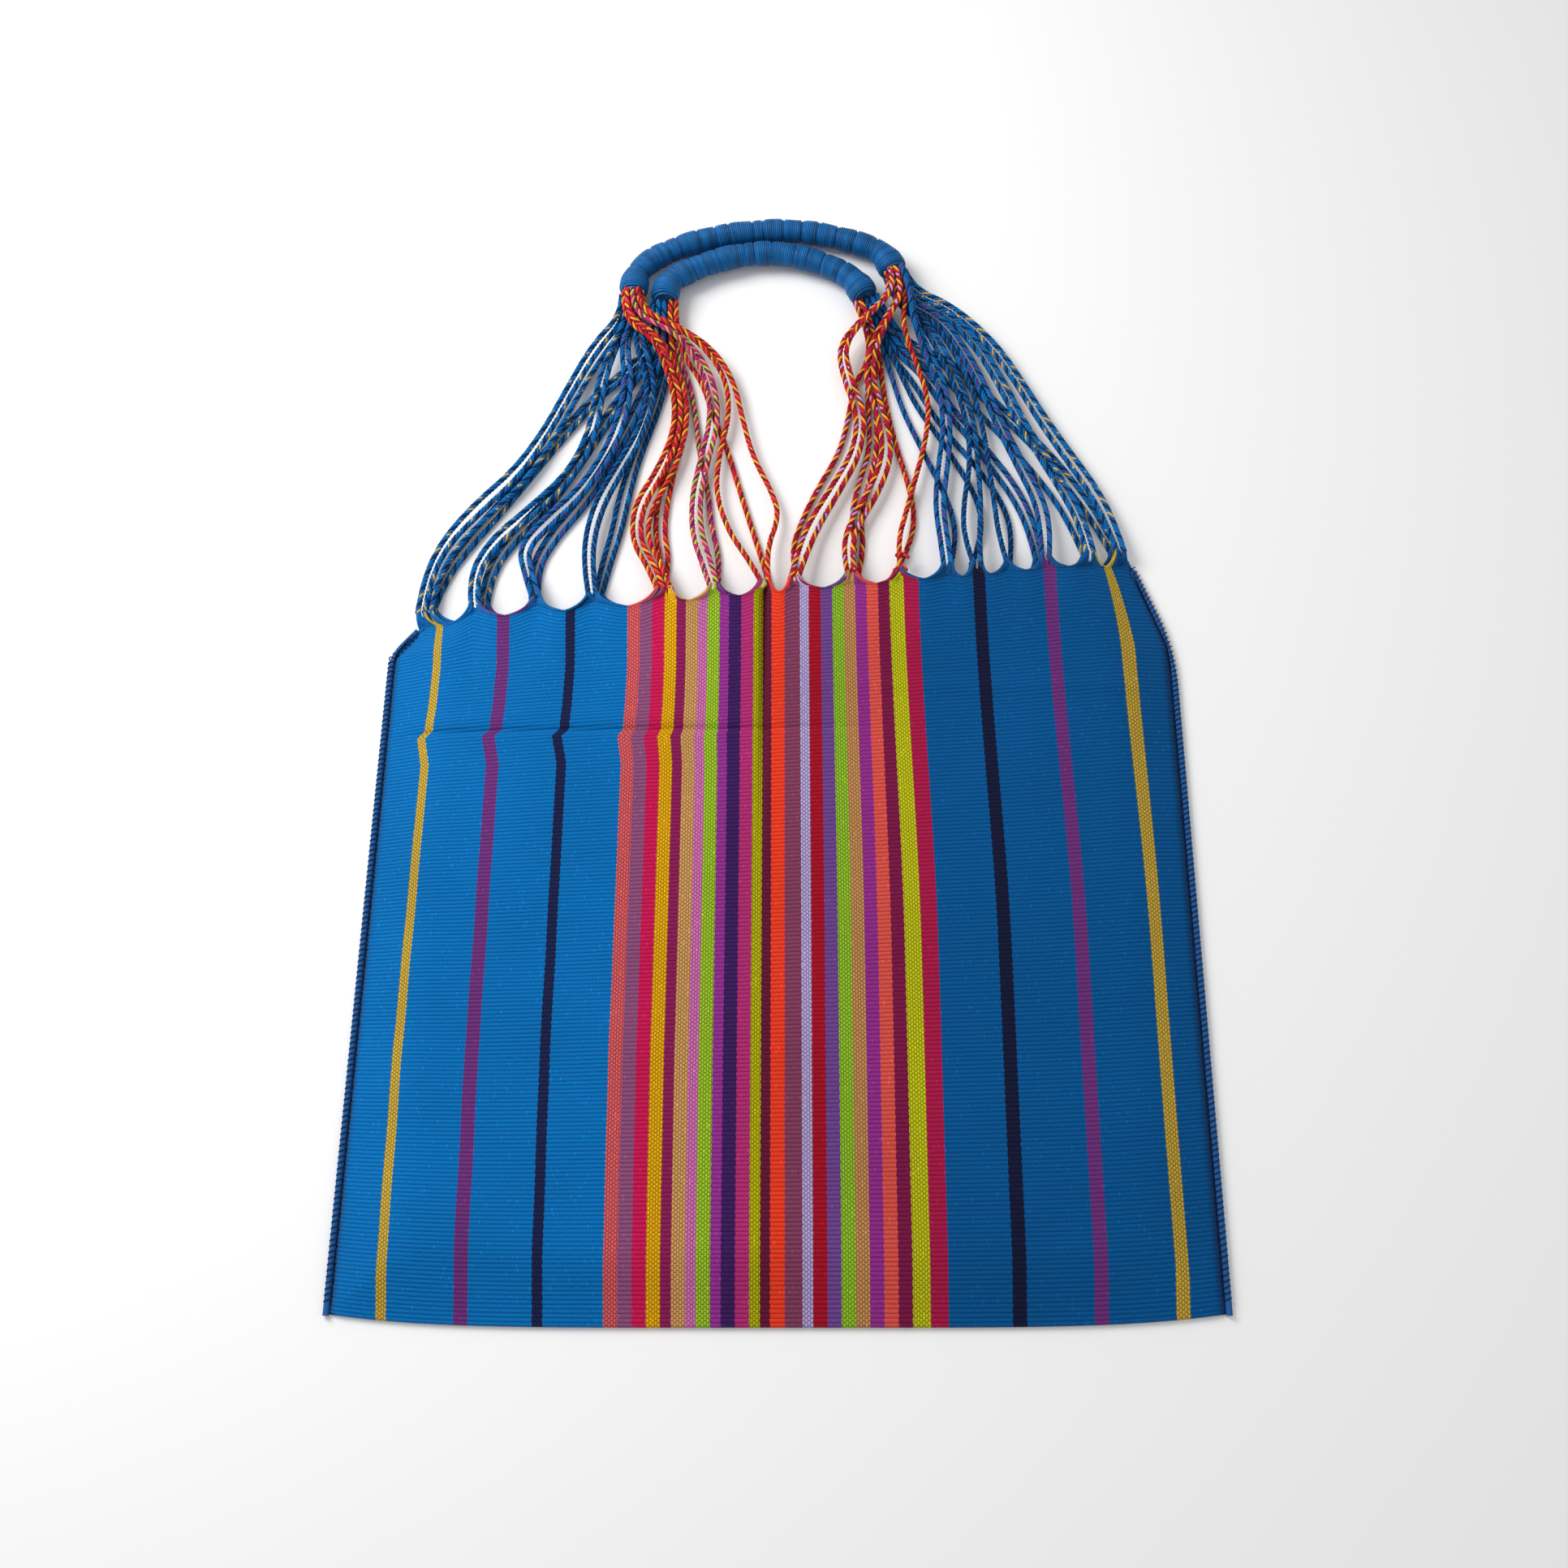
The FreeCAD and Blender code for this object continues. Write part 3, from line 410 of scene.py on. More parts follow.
# The tree lays plies round a line: each ply is a tube that keeps its distance from the line, "spread",
# and goes round it once in each lay.
plies_tree, given = new_tree("laid_plies", {
    "Plies": "NodeSocketInt", "Lay": "NodeSocketFloat", "Turn": "NodeSocketFloat", "Start": "NodeSocketFloat",
    "Step": "NodeSocketFloat", "Ply radius": "NodeSocketFloat", "Sides": "NodeSocketInt",
    "Material": "NodeSocketMaterial"})
lines = add_node(plies_tree, "GeometryNodeMeshToCurve", {"Mesh": given["Geometry"]}).outputs[0]
stepped = add_node(plies_tree, "GeometryNodeResampleCurve", {"Curve": lines, "Length": given["Step"]},
                   mode="LENGTH").outputs[0]
copies = add_node(plies_tree, "GeometryNodeDuplicateElements",
                  {"Geometry": stepped, "Amount": given["Plies"]}, domain="SPLINE")
numbered = add_node(plies_tree, "GeometryNodeStoreNamedAttribute",
                    {"Geometry": copies.outputs["Geometry"], "Name": "ply",
                     "Value": copies.outputs["Duplicate Index"]}, data_type="FLOAT", domain="POINT")
travelled = add_node(plies_tree, "GeometryNodeSplineParameter").outputs["Length"]
measured = add_node(plies_tree, "GeometryNodeStoreNamedAttribute",
                    {"Geometry": numbered.outputs["Geometry"], "Name": "along", "Value": travelled},
                    data_type="FLOAT", domain="POINT")
ply_number = add_node(plies_tree, "GeometryNodeInputNamedAttribute", {"Name": "ply"}, data_type="FLOAT")
turns = maths(plies_tree, "DIVIDE", travelled, given["Lay"])
share = maths(plies_tree, "DIVIDE", ply_number.outputs["Attribute"], given["Plies"])
first_turn = maths(plies_tree, "ADD", share, given["Start"])
whole_turns = maths(plies_tree, "MULTIPLY_ADD", turns, given["Turn"], first_turn)
angle = maths(plies_tree, "MULTIPLY", whole_turns, math.tau)
normal = add_node(plies_tree, "GeometryNodeInputNormal").outputs[0]
tangent = add_node(plies_tree, "GeometryNodeInputTangent").outputs[0]
side = vector_maths(plies_tree, "CROSS_PRODUCT", {0: tangent, 1: normal})
up_part = vector_maths(plies_tree, "SCALE", {0: normal, "Scale": maths(plies_tree, "COSINE", angle)})
side_part = vector_maths(plies_tree, "SCALE", {0: side, "Scale": maths(plies_tree, "SINE", angle)})
spread = add_node(plies_tree, "GeometryNodeInputNamedAttribute", {"Name": "spread"}, data_type="FLOAT")
offset = vector_maths(plies_tree, "SCALE", {0: vector_maths(plies_tree, "ADD", {0: up_part, 1: side_part}),
                                            "Scale": spread.outputs["Attribute"]})
wound = add_node(plies_tree, "GeometryNodeSetPosition",
                 {"Geometry": measured.outputs["Geometry"], "Offset": offset}).outputs[0]
section = add_node(plies_tree, "GeometryNodeCurvePrimitiveCircle",
                   {"Resolution": given["Sides"], "Radius": given["Ply radius"]}).outputs["Curve"]
section_place = add_node(plies_tree, "GeometryNodeInputPosition").outputs[0]
facing = vector_maths(plies_tree, "NORMALIZE", {0: section_place})
marked_section = add_node(plies_tree, "GeometryNodeStoreNamedAttribute",
                          {"Geometry": section, "Name": "around", "Value": facing},
                          data_type="FLOAT_VECTOR", domain="POINT")
tubes = add_node(plies_tree, "GeometryNodeCurveToMesh",
                 {"Curve": wound, "Profile Curve": marked_section.outputs["Geometry"], "Fill Caps": True})
smooth_tubes = add_node(plies_tree, "GeometryNodeSetShadeSmooth", {"Geometry": tubes.outputs["Mesh"]})
close_tree(plies_tree, smooth_tubes.outputs["Geometry"], given["Material"])


def lines_mesh(lines, spreads, values=None):
    """Lines as a mesh of edges, with the spread of the plies at each point, and with one more value."""
    mesh = bpy.data.meshes.new("lines")
    points = [point for line in lines for point in line]
    edges = []
    first = 0
    for line in lines:
        edges += [(number, number + 1) for number in range(first, first + len(line) - 1)]
        first += len(line)
    mesh.from_pydata(points, edges, [])
    mesh.attributes.new("spread", "FLOAT", "POINT").data.foreach_set("value", spreads)
    if values:
        mesh.attributes.new("warp_place", "FLOAT", "POINT").data.foreach_set("value", values)
    return mesh


def laid(lines, spreads, finish, plies, lay, step, radius, sides, turn=1.0, start=0.0, values=None):
    """The mesh of plies laid round the lines, which may carry one more value at each point."""
    return worked_mesh(plies_tree, lines_mesh(lines, spreads, values), {
        "Plies": plies, "Lay": lay, "Turn": turn, "Start": start, "Step": step, "Ply radius": radius,
        "Sides": sides, "Material": finish})


def ply_colour(tree, colours, hidden=0.0):
    """Each ply's own colour in turn. The last ply is an accent that is turned under here and there."""
    ply = add_node(tree, "ShaderNodeAttribute", attribute_name="ply").outputs["Fac"]
    ramp = add_node(tree, "ShaderNodeValToRGB",
                    {0: maths(tree, "DIVIDE", maths(tree, "ADD", ply, 0.5), len(colours))})
    ramp.color_ramp.interpolation = "CONSTANT"
    ramp.color_ramp.elements.remove(ramp.color_ramp.elements[-1])
    ramp.color_ramp.elements[0].color = (*colours[0], 1)
    for number, colour in enumerate(colours[1:], start=1):
        ramp.color_ramp.elements.new(number / len(colours)).color = (*colour, 1)
    stretches = add_node(tree, "ShaderNodeTexNoise", {
        "Vector": add_node(tree, "ShaderNodeTexCoord").outputs["Object"], "Scale": 190.0, "Detail": 1.0})
    seen = maths(tree, "MAXIMUM", maths(tree, "GREATER_THAN", stretches.outputs["Fac"], hidden),
                 maths(tree, "LESS_THAN", ply, len(colours) - 1.5))
    return add_node(tree, "ShaderNodeMix", {0: seen, 6: (*colours[0], 1), 7: ramp.outputs["Color"]},
                    data_type="RGBA").outputs[2]


def yarn_finish(name, colour_of, fibre_lay):
    """Spun cotton: colour_of gives the dye, and fine fibres wind round each ply; the colour is darkened in
    the grooves between the fibres as painted shade.
    """
    material = bpy.data.materials.new(name)
    material.use_nodes = True
    tree = material.node_tree
    shader = tree.nodes["Principled BSDF"]
    around = add_node(tree, "ShaderNodeAttribute", attribute_name="around")
    split = add_node(tree, "ShaderNodeSeparateXYZ", {0: around.outputs["Vector"]})
    along = add_node(tree, "ShaderNodeAttribute", attribute_name="along").outputs["Fac"]
    angle = maths(tree, "ARCTAN2", split.outputs["Y"], split.outputs["X"])
    winding = maths(tree, "SUBTRACT", maths(tree, "MULTIPLY", angle, 1.5),
                    maths(tree, "MULTIPLY", along, 1.5 * math.tau / fibre_lay))
    wave = humps(tree, winding)
    coordinates = add_node(tree, "ShaderNodeTexCoord").outputs["Object"]
    fibres = add_node(tree, "ShaderNodeTexNoise", {"Vector": coordinates, "Scale": 2600.0, "Detail": 3.0})
    fading = add_node(tree, "ShaderNodeTexNoise", {"Vector": coordinates, "Scale": 150.0, "Detail": 2.0})
    # Painted shade: the colour darkens in the grooves between the fibres.
    painted_groove_shade = add_node(tree, "ShaderNodeMapRange", {"Value": wave, "From Max": 0.45, "To Min": 0.62})
    shade = maths(tree, "MULTIPLY", painted_groove_shade.outputs[0], varied(tree, fading.outputs["Fac"], 0.78, 1.15))
    shaded = vector_maths(tree, "SCALE", {0: colour_of(tree), "Scale": shade})
    tree.links.new(shaded, shader.inputs["Base Color"])
    height = maths(tree, "MULTIPLY_ADD", fibres.outputs["Fac"], 0.4, wave)
    bump = add_node(tree, "ShaderNodeBump", {"Strength": 0.5, "Distance": 0.0002, "Height": height})
    tree.links.new(bump.outputs["Normal"], shader.inputs["Normal"])
    shader.inputs["Roughness"].default_value = 0.65
    shader.inputs["Specular IOR Level"].default_value = 0.12
    shader.inputs["Sheen Weight"].default_value = 0.06
    shader.inputs["Sheen Roughness"].default_value = 0.45
    return material


def dyed(red, green, blue):
    """A dye's colour from its 0 to 255 values."""
    return tuple(((value / 255 + 0.055) / 1.055) ** 2.4 if value > 10 else value / 3295
                 for value in (red, green, blue))


blue = dyed(0, 106, 176)
# A darker blue for the right half of the bag, painted shade of the light falling off to the right. One ply of
# the plain blue cords uses it too.
painted_shade_blue = dyed(0, 82, 142)
deep_blue = dyed(0, 46, 92)
straw = dyed(214, 170, 84)
yellow = dyed(236, 176, 40)
lime = dyed(188, 212, 36)
orange = dyed(226, 74, 34)
red = dyed(188, 24, 50)
crimson = dyed(136, 10, 44)
magenta = dyed(186, 44, 116)
peach = dyed(234, 140, 108)
lavender = dyed(186, 168, 214)
purple = dyed(116, 34, 96)
violet = dyed(96, 52, 138)

# Each kind of cord, its four plies, and how much of its accents is hidden.
cord_plies = {
    "blue_yellow_cord": ((blue, deep_blue, blue, straw), 0.54),
    "blue_purple_cord": ((blue, deep_blue, blue, violet), 0.5),
    "blue_cord": ((blue, deep_blue, painted_shade_blue, deep_blue), 0.4),
    "red_yellow_cord": ((red, orange, crimson, yellow), 0.42),
    "pink_lime_cord": ((magenta, peach, purple, lime), 0.48),
    "mixed_light_cord": ((red, yellow, crimson, lavender), 0.56),
}
bunch_kinds = ["blue_yellow_cord", "blue_yellow_cord", "blue_purple_cord", "blue_cord", "red_yellow_cord",
               "pink_lime_cord", "red_yellow_cord", "mixed_light_cord", "mixed_light_cord",
               "red_yellow_cord", "blue_purple_cord", "blue_cord", "blue_cord", "blue_purple_cord",
               "blue_yellow_cord", "blue_yellow_cord"]
fibre_lay = 0.005
cord_finishes = {kind: yarn_finish(kind, lambda tree: ply_colour(tree, colours, hidden), fibre_lay)
                 for kind, (colours, hidden) in cord_plies.items()}

cord_lay = 0.0092
ply_radius = 0.00061
ply_spread = 0.00089
cord_starts = {"front": [], "back": []}

# One cord of the red bunches is knotted just above the cloth, and the knot's cut ends stick out.
knot_place = np.array((0.0622, 0.0838, 0.0078))
knot_size = 0.0021
knot_angles = np.linspace(0, math.tau, 49)
knot_turns = knot_place + knot_size * np.stack((
    (np.sin(knot_angles) + 2 * np.sin(2 * knot_angles)) / 3,
    (np.cos(knot_angles) - 2 * np.cos(2 * knot_angles)) / 3, -np.sin(3 * knot_angles) / 3), axis=1)
knot_tail = [knot_place + (0.0005, 0, 0), knot_place + (0.0028, 0.0004, 0.0004),
             knot_place + (0.0044, -0.0006, 0)]
cut_end = [(0.0628, 0.0772, 0.0089), (0.0642, 0.0768, 0.0094), (0.0652, 0.0752, 0.0092)]
knot_lines = [knot_turns.tolist(), [tuple(point) for point in knot_tail], cut_end]
knot_spreads = [0.0005] * sum(len(line) for line in knot_lines)
root_knot = placed("root_knot", laid(knot_lines, knot_spreads, cord_finishes["red_yellow_cord"],
                                     plies=3, lay=0.005, step=0.0004, radius=0.0005, sides=6))
for face, line, halves, beyond_mouth in (
        ("front", front_handle_line, (front_left_bunches, front_right_bunches), 0.0),
        ("back", back_handle_line, (back_left_bunches, back_right_bunches), back_panel_rise)):
    if face == "front":
        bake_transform(root_knot)
    left_count = len(halves[0])
    for number, (root, points, cords) in enumerate(halves[0] + halves[1], start=1):
        root_height = front_height(root) - 0.0013 if face == "front" else 0.0015
        kind = bunch_kinds[number - 1]
        starts = []
        for cord_number, cord in enumerate(cords, start=1):
            route = cord_points(root, points, cord, root_height, beyond_mouth, line, number <= left_count)
            path = spline_points("cord_line", route)
            strand = laid([path], [ply_spread] * len(path), cord_finishes[kind], plies=4, lay=cord_lay,
                          step=0.0009, radius=ply_radius, sides=6, turn=1.0 if cord_number % 2 else -1.0,
                          start=(number * 0.61 + cord_number * 0.37) % 1)
            name = f"{face}_bunch_{number:02d}_cord_{cord_number}"
            piece = placed(name, strand)
            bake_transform(piece)
            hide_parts(f"{face}_bunch_{number:02d}")
            starts.append(path[0])
        cord_starts[face].append((root, starts))

# Woven cloth. One length of warp-faced cotton, striped along its length and ribbed across it, is folded
# once across the bottom, and its two panels meet at the side seams. The mouth is drawn up at each bunch.
cloth_half_width = 0.1972
cloth_length = 0.353         # bottom fold to mouth, on the middle line
left_shoulder = (-0.1932, -0.1812, 0.014)   # the left side below the shoulder, at the mouth, and the drop
right_shoulder = (0.1972, 0.1802, 0.045)
right_draw_from = 0.166      # the cloth outside this place across it is drawn in at the right shoulder
seam_height = 0.0012         # where the two panels meet at the sides and the bottom
puff_height = 0.0074         # how far the front panel rises from its edge
cloth_thickness = 0.0012
rib_count = 184
rib_pitch = cloth_length / rib_count
rib_height = 0.00016
scallop_heights = ((-0.18, -0.155, -0.03, 0.03, 0.18), (0.0026, 0.0062, 0.0056, 0.0034, 0.0018))
roots = {"front": [start[0] for start in cord_starts["front"]],
         "back": [start[0] for start in cord_starts["back"]]}


def eased(value, low, high):
    """0 below low, 1 above high and smooth between them."""
    share = np.clip((value - low) / (high - low), 0, 1)
    return share * share * (3 - 2 * share)


def bunch_edges(face):
    """Where each bunch's share of the mouth starts and ends."""
    middles = [(a + b) / 2 for a, b in zip(roots[face], roots[face][1:])]
    return [left_shoulder[1]] + middles + [right_shoulder[1]]


def scallop(x, face):
    """How far the woven edge is drawn up: fully at each root, not at all half-way to the next."""
    edges = np.array(bunch_edges(face))
    number = np.clip(np.searchsorted(edges, x) - 1, 0, len(roots[face]) - 1)
    root = np.array(roots[face])[number]
    reach = np.where(x < root, root - edges[number], edges[number + 1] - root)
    return np.interp(root, *scallop_heights) * (1 - np.clip(np.abs(x - root) / reach, 0, 1)) ** 1.6


def woven_place(warp, rise, face):
    """Where a point of a panel lies: warp is its place across the cloth, rise its share of the length."""
    bottom = bottom_y + 0.006 * np.abs(warp / 0.2) ** 5
    flat_y = bottom + (mouth_at(warp) - bottom) * rise
    below_mouth = mouth_at(warp) - flat_y
    lean = (left_shoulder[0] + cloth_half_width) * np.clip(
        rise * cloth_length / (cloth_length - left_shoulder[2]), 0, 1)
    left_draw = (left_shoulder[1] - left_shoulder[0]) * (1 - np.clip(below_mouth / left_shoulder[2], 0, 1))
    right_depth = right_shoulder[0] - right_shoulder[1]
    right_draw = right_depth * (1 - np.clip(below_mouth / right_shoulder[2], 0, 1))
    drawn = right_draw / right_depth
    near_right = np.clip((warp - right_draw_from) / (cloth_half_width - right_draw_from), 0, 1)
    x = (warp + lean * eased(-warp, 0.15, cloth_half_width)
         + left_draw * eased(-warp, 0.175, cloth_half_width)
         - right_draw * (near_right + (drawn - 1) * near_right * (1 - near_right)))
    left_pull, right_pull = lean + left_draw, right_draw
    if face == "front":
        jog = np.interp(flat_y, (-0.29, -0.17, -0.03, -0.0155, -0.0115, 0.0, 0.022, 0.05),
                        (0, -0.0014, 0, -0.0030, 0.0006, 0.0014, 0.0020, 0.0008))
        x = x + jog * eased(-warp, 0.0, 0.12) * (1 - eased(-warp, 0.18, cloth_half_width))
        x = x - 0.0045 * eased(flat_y, -0.12, 0.06) * eased(warp, 0.0, 0.09) * (1 - eased(warp, 0.17, 0.197))
    sides = np.minimum(x + cloth_half_width - left_pull, cloth_half_width - right_pull - x)
    inwards = np.clip(np.minimum(sides, flat_y - bottom), 0, None)
    y = flat_y + scallop(x, face) * eased(rise, 0.9, 1.0)
    if face == "back":
        y = y + back_panel_rise * rise
    return x, y, inwards


def front_surface(x, y, inwards):
    """Height of the front panel: a low pillow with the waves, creases and tucks of folded cloth."""
    rounded = seam_height * np.sqrt(1 - (1 - np.clip(inwards / seam_height, 0, 1)) ** 2)
    puff = puff_height * (eased(inwards, -0.004, 0.034) - eased(0.0, -0.004, 0.034))
    height = seam_height + rounded + puff
    loose = eased(inwards, 0.002, 0.03)
    waves = (0.00045 * np.sin(x * 41 + y * 13) + 0.0004 * np.sin(y * 33 - x * 17 + 1.3)
             + 0.0003 * np.sin(x * 95 + 0.6) * eased(y, -0.25, 0.0))
    lower_left = 0.0006 * np.sin((y + 0.4 * x) * 120) * eased(-x, 0.02, 0.1) * eased(-y, 0.03, 0.12)
    fold_line = -0.011 + 0.012 * x
    fold = -0.0011 * np.exp(-((y - fold_line) / 0.0016) ** 2) * eased(-x, -0.08, 0.03)
    fold_ridge = 0.0008 * np.exp(-((y - fold_line - 0.006) / 0.005) ** 2) * eased(-x, -0.06, 0.05)
    upper_fold = 0.0007 * np.exp(-((y - 0.012) / 0.004) ** 2) * eased(x, 0.0, 0.08)
    crease = -0.0032 * np.exp(-((x + 0.0068 - 0.01 * (y - 0.06)) / 0.0017) ** 2) * eased(y, -0.1, 0.04)
    crease_side = 0.0007 * np.exp(-((x + 0.013) / 0.004) ** 2) * eased(y, -0.06, 0.05)
    tucks = np.zeros_like(x)
    below_mouth = mouth_at(x) - y
    for number, root in enumerate(roots["front"]):
        width = 0.0035 + 0.001 * (number % 3)
        depth = 0.0010 + 0.0004 * ((number * 7) % 4) / 3
        tucks -= depth * np.exp(-((x - root) / width) ** 2) * np.exp(-np.abs(below_mouth) / 0.016)
        tucks += 0.0008 * np.exp(-((x - root - 0.010) / 0.006) ** 2) * np.exp(-np.abs(below_mouth) / 0.03)
    folds = fold + fold_ridge + upper_fold + crease + crease_side
    height = height + loose * (waves + lower_left + folds + tucks)
    return np.clip(height, seam_height, 0.0107)


def back_surface(x, y, inwards):
    """Height of the back panel's outside, which rests on the table."""
    rounded = (seam_height - 0.0003) * np.sqrt(1 - (1 - np.clip(inwards / seam_height, 0, 1)) ** 2)
    return seam_height - rounded + 0.0002 * eased(inwards, 0.002, 0.03) * (1 + np.sin(x * 60 + y * 35))


def panel_mesh(face, surface, outwards, rows_in_rib, columns):
    """A panel from its bottom fold up its outside to the mouth, over the woven edge, and down its inside."""
    rows = rib_count * rows_in_rib
    skip = 4 * rows_in_rib                      # the inside has a row for every fourth rib
    count = len(columns)
    warp, rise = np.meshgrid(columns, np.linspace(0, 1, rows + 1))
    x, y, inwards = woven_place(warp, rise, face)
    height = surface(x, y, inwards)
    inner = np.s_[::-skip, 1:-1]
    inner_height = height[inner] - outwards * cloth_thickness * np.clip(inwards[inner] / 0.004, 0, 1)
    inner_count = rows // skip

    def outside(row, column):
        return row * count + column

    def inside(step, column):
        if step == inner_count:
            return outside(0, column)
        return (rows + 1) * count + step * (count - 2) + column - 1

    faces = [(outside(row, column), outside(row, column + 1), outside(row + 1, column + 1),
              outside(row + 1, column)) for row in range(rows) for column in range(count - 1)]
    last = count - 1
    for column in range(1, last - 1):
        faces.append((outside(rows, column), outside(rows, column + 1),
                      inside(0, column + 1), inside(0, column)))
        faces += [(inside(step, column), inside(step, column + 1), inside(step + 1, column + 1),
                   inside(step + 1, column)) for step in range(inner_count)]
    faces.append((outside(rows, 0), outside(rows, 1), inside(0, 1)))
    faces.append((outside(rows, last - 1), outside(rows, last), inside(0, last - 1)))
    for step in range(inner_count):
        high, low = rows - step * skip, rows - (step + 1) * skip
        left = [outside(row, 0) for row in range(low, high + 1)]
        right = [outside(row, last) for row in range(high, low - 1, -1)]
        ends = [inside(step, 1)] + ([inside(step + 1, 1)] if low else [outside(0, 1)])
        faces.append((*ends, *left))
        faces.append((inside(step, last - 1), *right, inside(step + 1, last - 1)))
    points = np.concatenate((np.stack((x.ravel(), y.ravel(), height.ravel()), axis=1),
                             np.stack((x[inner][:-1].ravel(), y[inner][:-1].ravel(),
                                       inner_height[:-1].ravel()), axis=1)))
    mesh = bpy.data.meshes.new(f"{face}_panel")
    mesh.from_pydata(points.tolist(), [], [corners[::outwards] for corners in faces])
    for name, values, inner_values in (("warp_place", warp, warp[inner][:-1]),
                                       ("rib_place", rise * cloth_length, rise[inner][:-1] * cloth_length),
                                       ("ribbed", np.ones_like(rise), np.zeros_like(rise[inner][:-1]))):
        mesh.attributes.new(name, "FLOAT", "POINT").data.foreach_set(
            "value", np.concatenate((values.ravel(), inner_values.ravel())))
    return mesh


# The tree raises the ribs: each is a ridge right across the cloth.
ribs_tree, given = new_tree("woven_ribs", {"Rib pitch": "NodeSocketFloat", "Rib height": "NodeSocketFloat",
                                           "Material": "NodeSocketMaterial"})
rib_place = add_node(ribs_tree, "GeometryNodeInputNamedAttribute", {"Name": "rib_place"}, data_type="FLOAT")
ribbed = add_node(ribs_tree, "GeometryNodeInputNamedAttribute", {"Name": "ribbed"}, data_type="FLOAT")
ribs_passed = maths(ribs_tree, "DIVIDE", rib_place.outputs["Attribute"], given["Rib pitch"])
ridge = humps(ribs_tree, maths(ribs_tree, "MULTIPLY", ribs_passed, math.pi))
lift = maths(ribs_tree, "MULTIPLY", maths(ribs_tree, "MULTIPLY", ridge, ribbed.outputs["Attribute"]),
             given["Rib height"])
cloth_normal = add_node(ribs_tree, "GeometryNodeInputNormal").outputs[0]
rib_offset = vector_maths(ribs_tree, "SCALE", {0: cloth_normal, "Scale": lift})
raised = add_node(ribs_tree, "GeometryNodeSetPosition", {"Geometry": given["Geometry"], "Offset": rib_offset})
smooth_cloth = add_node(ribs_tree, "GeometryNodeSetShadeSmooth", {"Geometry": raised.outputs[0]})
close_tree(ribs_tree, smooth_cloth.outputs["Geometry"], given["Material"])

# Each stripe: where it starts across the cloth, its dye, and whether its light warp shows as a basket weave.
# On the right half the blue ground and the navy stripe are painted darker than on the left, as painted shade
# of the light falling off to the right.
mustard = dyed(200, 166, 62)
plum_line = dyed(104, 46, 116)
stripes = [
    (-0.2000, blue, 0), (-0.1780, mustard, 1), (-0.1719, blue, 0), (-0.1423, plum_line, 0),
    (-0.1363, blue, 0), (-0.1092, dyed(24, 30, 70), 0), (-0.1042, blue, 0), (-0.0774, dyed(218, 92, 96), 1),
    (-0.0710, dyed(134, 74, 116), 0), (-0.0642, dyed(194, 20, 78), 0), (-0.0589, dyed(232, 172, 8), 1),
    (-0.0528, dyed(134, 26, 82), 0), (-0.0478, dyed(212, 158, 94), 1), (-0.0421, dyed(214, 114, 180), 1),
    (-0.0364, dyed(158, 198, 42), 1), (-0.0311, dyed(142, 46, 138), 0), (-0.0254, dyed(58, 26, 88), 0),
    (-0.0197, dyed(170, 42, 108), 0), (-0.0138, dyed(182, 178, 4), 1), (-0.0079, dyed(96, 20, 50), 0),
    (-0.0034, dyed(226, 58, 32), 0), (0.0021, dyed(124, 58, 88), 0), (0.0096, dyed(180, 164, 214), 1),
    (0.0151, dyed(156, 12, 34), 0), (0.0213, dyed(104, 64, 134), 0), (0.0273, dyed(144, 190, 42), 1),
    (0.0337, dyed(196, 140, 84), 1), (0.0399, dyed(138, 42, 130), 0), (0.0467, dyed(208, 78, 68), 0),
    (0.0529, dyed(118, 20, 66), 0), (0.0591, dyed(194, 194, 22), 1), (0.0665, dyed(162, 22, 68), 0),
    (0.0738, painted_shade_blue, 0), (0.1026, dyed(18, 22, 52), 0), (0.1084, painted_shade_blue, 0), (0.1390, plum_line, 0),
    (0.1451, painted_shade_blue, 0), (0.1750, mustard, 1), (0.1806, painted_shade_blue, 0)]
half_way = 20                # the stripes are held in two ramps, split before this one


def stripe_colour(tree, warp_place):
    """The stripe's dye at a place across the cloth, with the painted shade of the right half's blue and navy,
    and whether it is a basket stripe.
    """
    reach = maths(tree, "DIVIDE", maths(tree, "ADD", warp_place, 0.2), 0.4)
    ramps = []
    for part in (stripes[:half_way], stripes[half_way:]):
        ramp = add_node(tree, "ShaderNodeValToRGB", {0: reach})
        ramp.color_ramp.interpolation = "CONSTANT"
        ramp.color_ramp.elements.remove(ramp.color_ramp.elements[-1])
        ramp.color_ramp.elements[0].color = (*part[0][1], part[0][2])
        for start, dye, basket in part[1:]:
            ramp.color_ramp.elements.new((start + 0.2) / 0.4).color = (*dye, basket)
        ramps.append(ramp)
    is_right = maths(tree, "GREATER_THAN", warp_place, stripes[half_way][0])
    dye = add_node(tree, "ShaderNodeMix", {0: is_right, 6: ramps[0].outputs["Color"],
                                           7: ramps[1].outputs["Color"]}, data_type="RGBA")
    basket = add_node(tree, "ShaderNodeMix", {0: is_right, 2: ramps[0].outputs["Alpha"],
                                              3: ramps[1].outputs["Alpha"]})
    return dye.outputs[2], basket.outputs[0]


striped_cotton = bpy.data.materials.new("striped_cotton")
striped_cotton.use_nodes = True
weave = striped_cotton.node_tree
cotton = weave.nodes["Principled BSDF"]
across = add_node(weave, "ShaderNodeAttribute", attribute_name="warp_place").outputs["Fac"]
upwards = add_node(weave, "ShaderNodeAttribute", attribute_name="rib_place").outputs["Fac"]
rib_number = maths(weave, "DIVIDE", upwards, rib_pitch)
stagger = maths(weave, "SUBTRACT", maths(weave, "ROUND", maths(weave, "FRACT", maths(
    weave, "MULTIPLY", rib_number, 0.5))), 0.5)
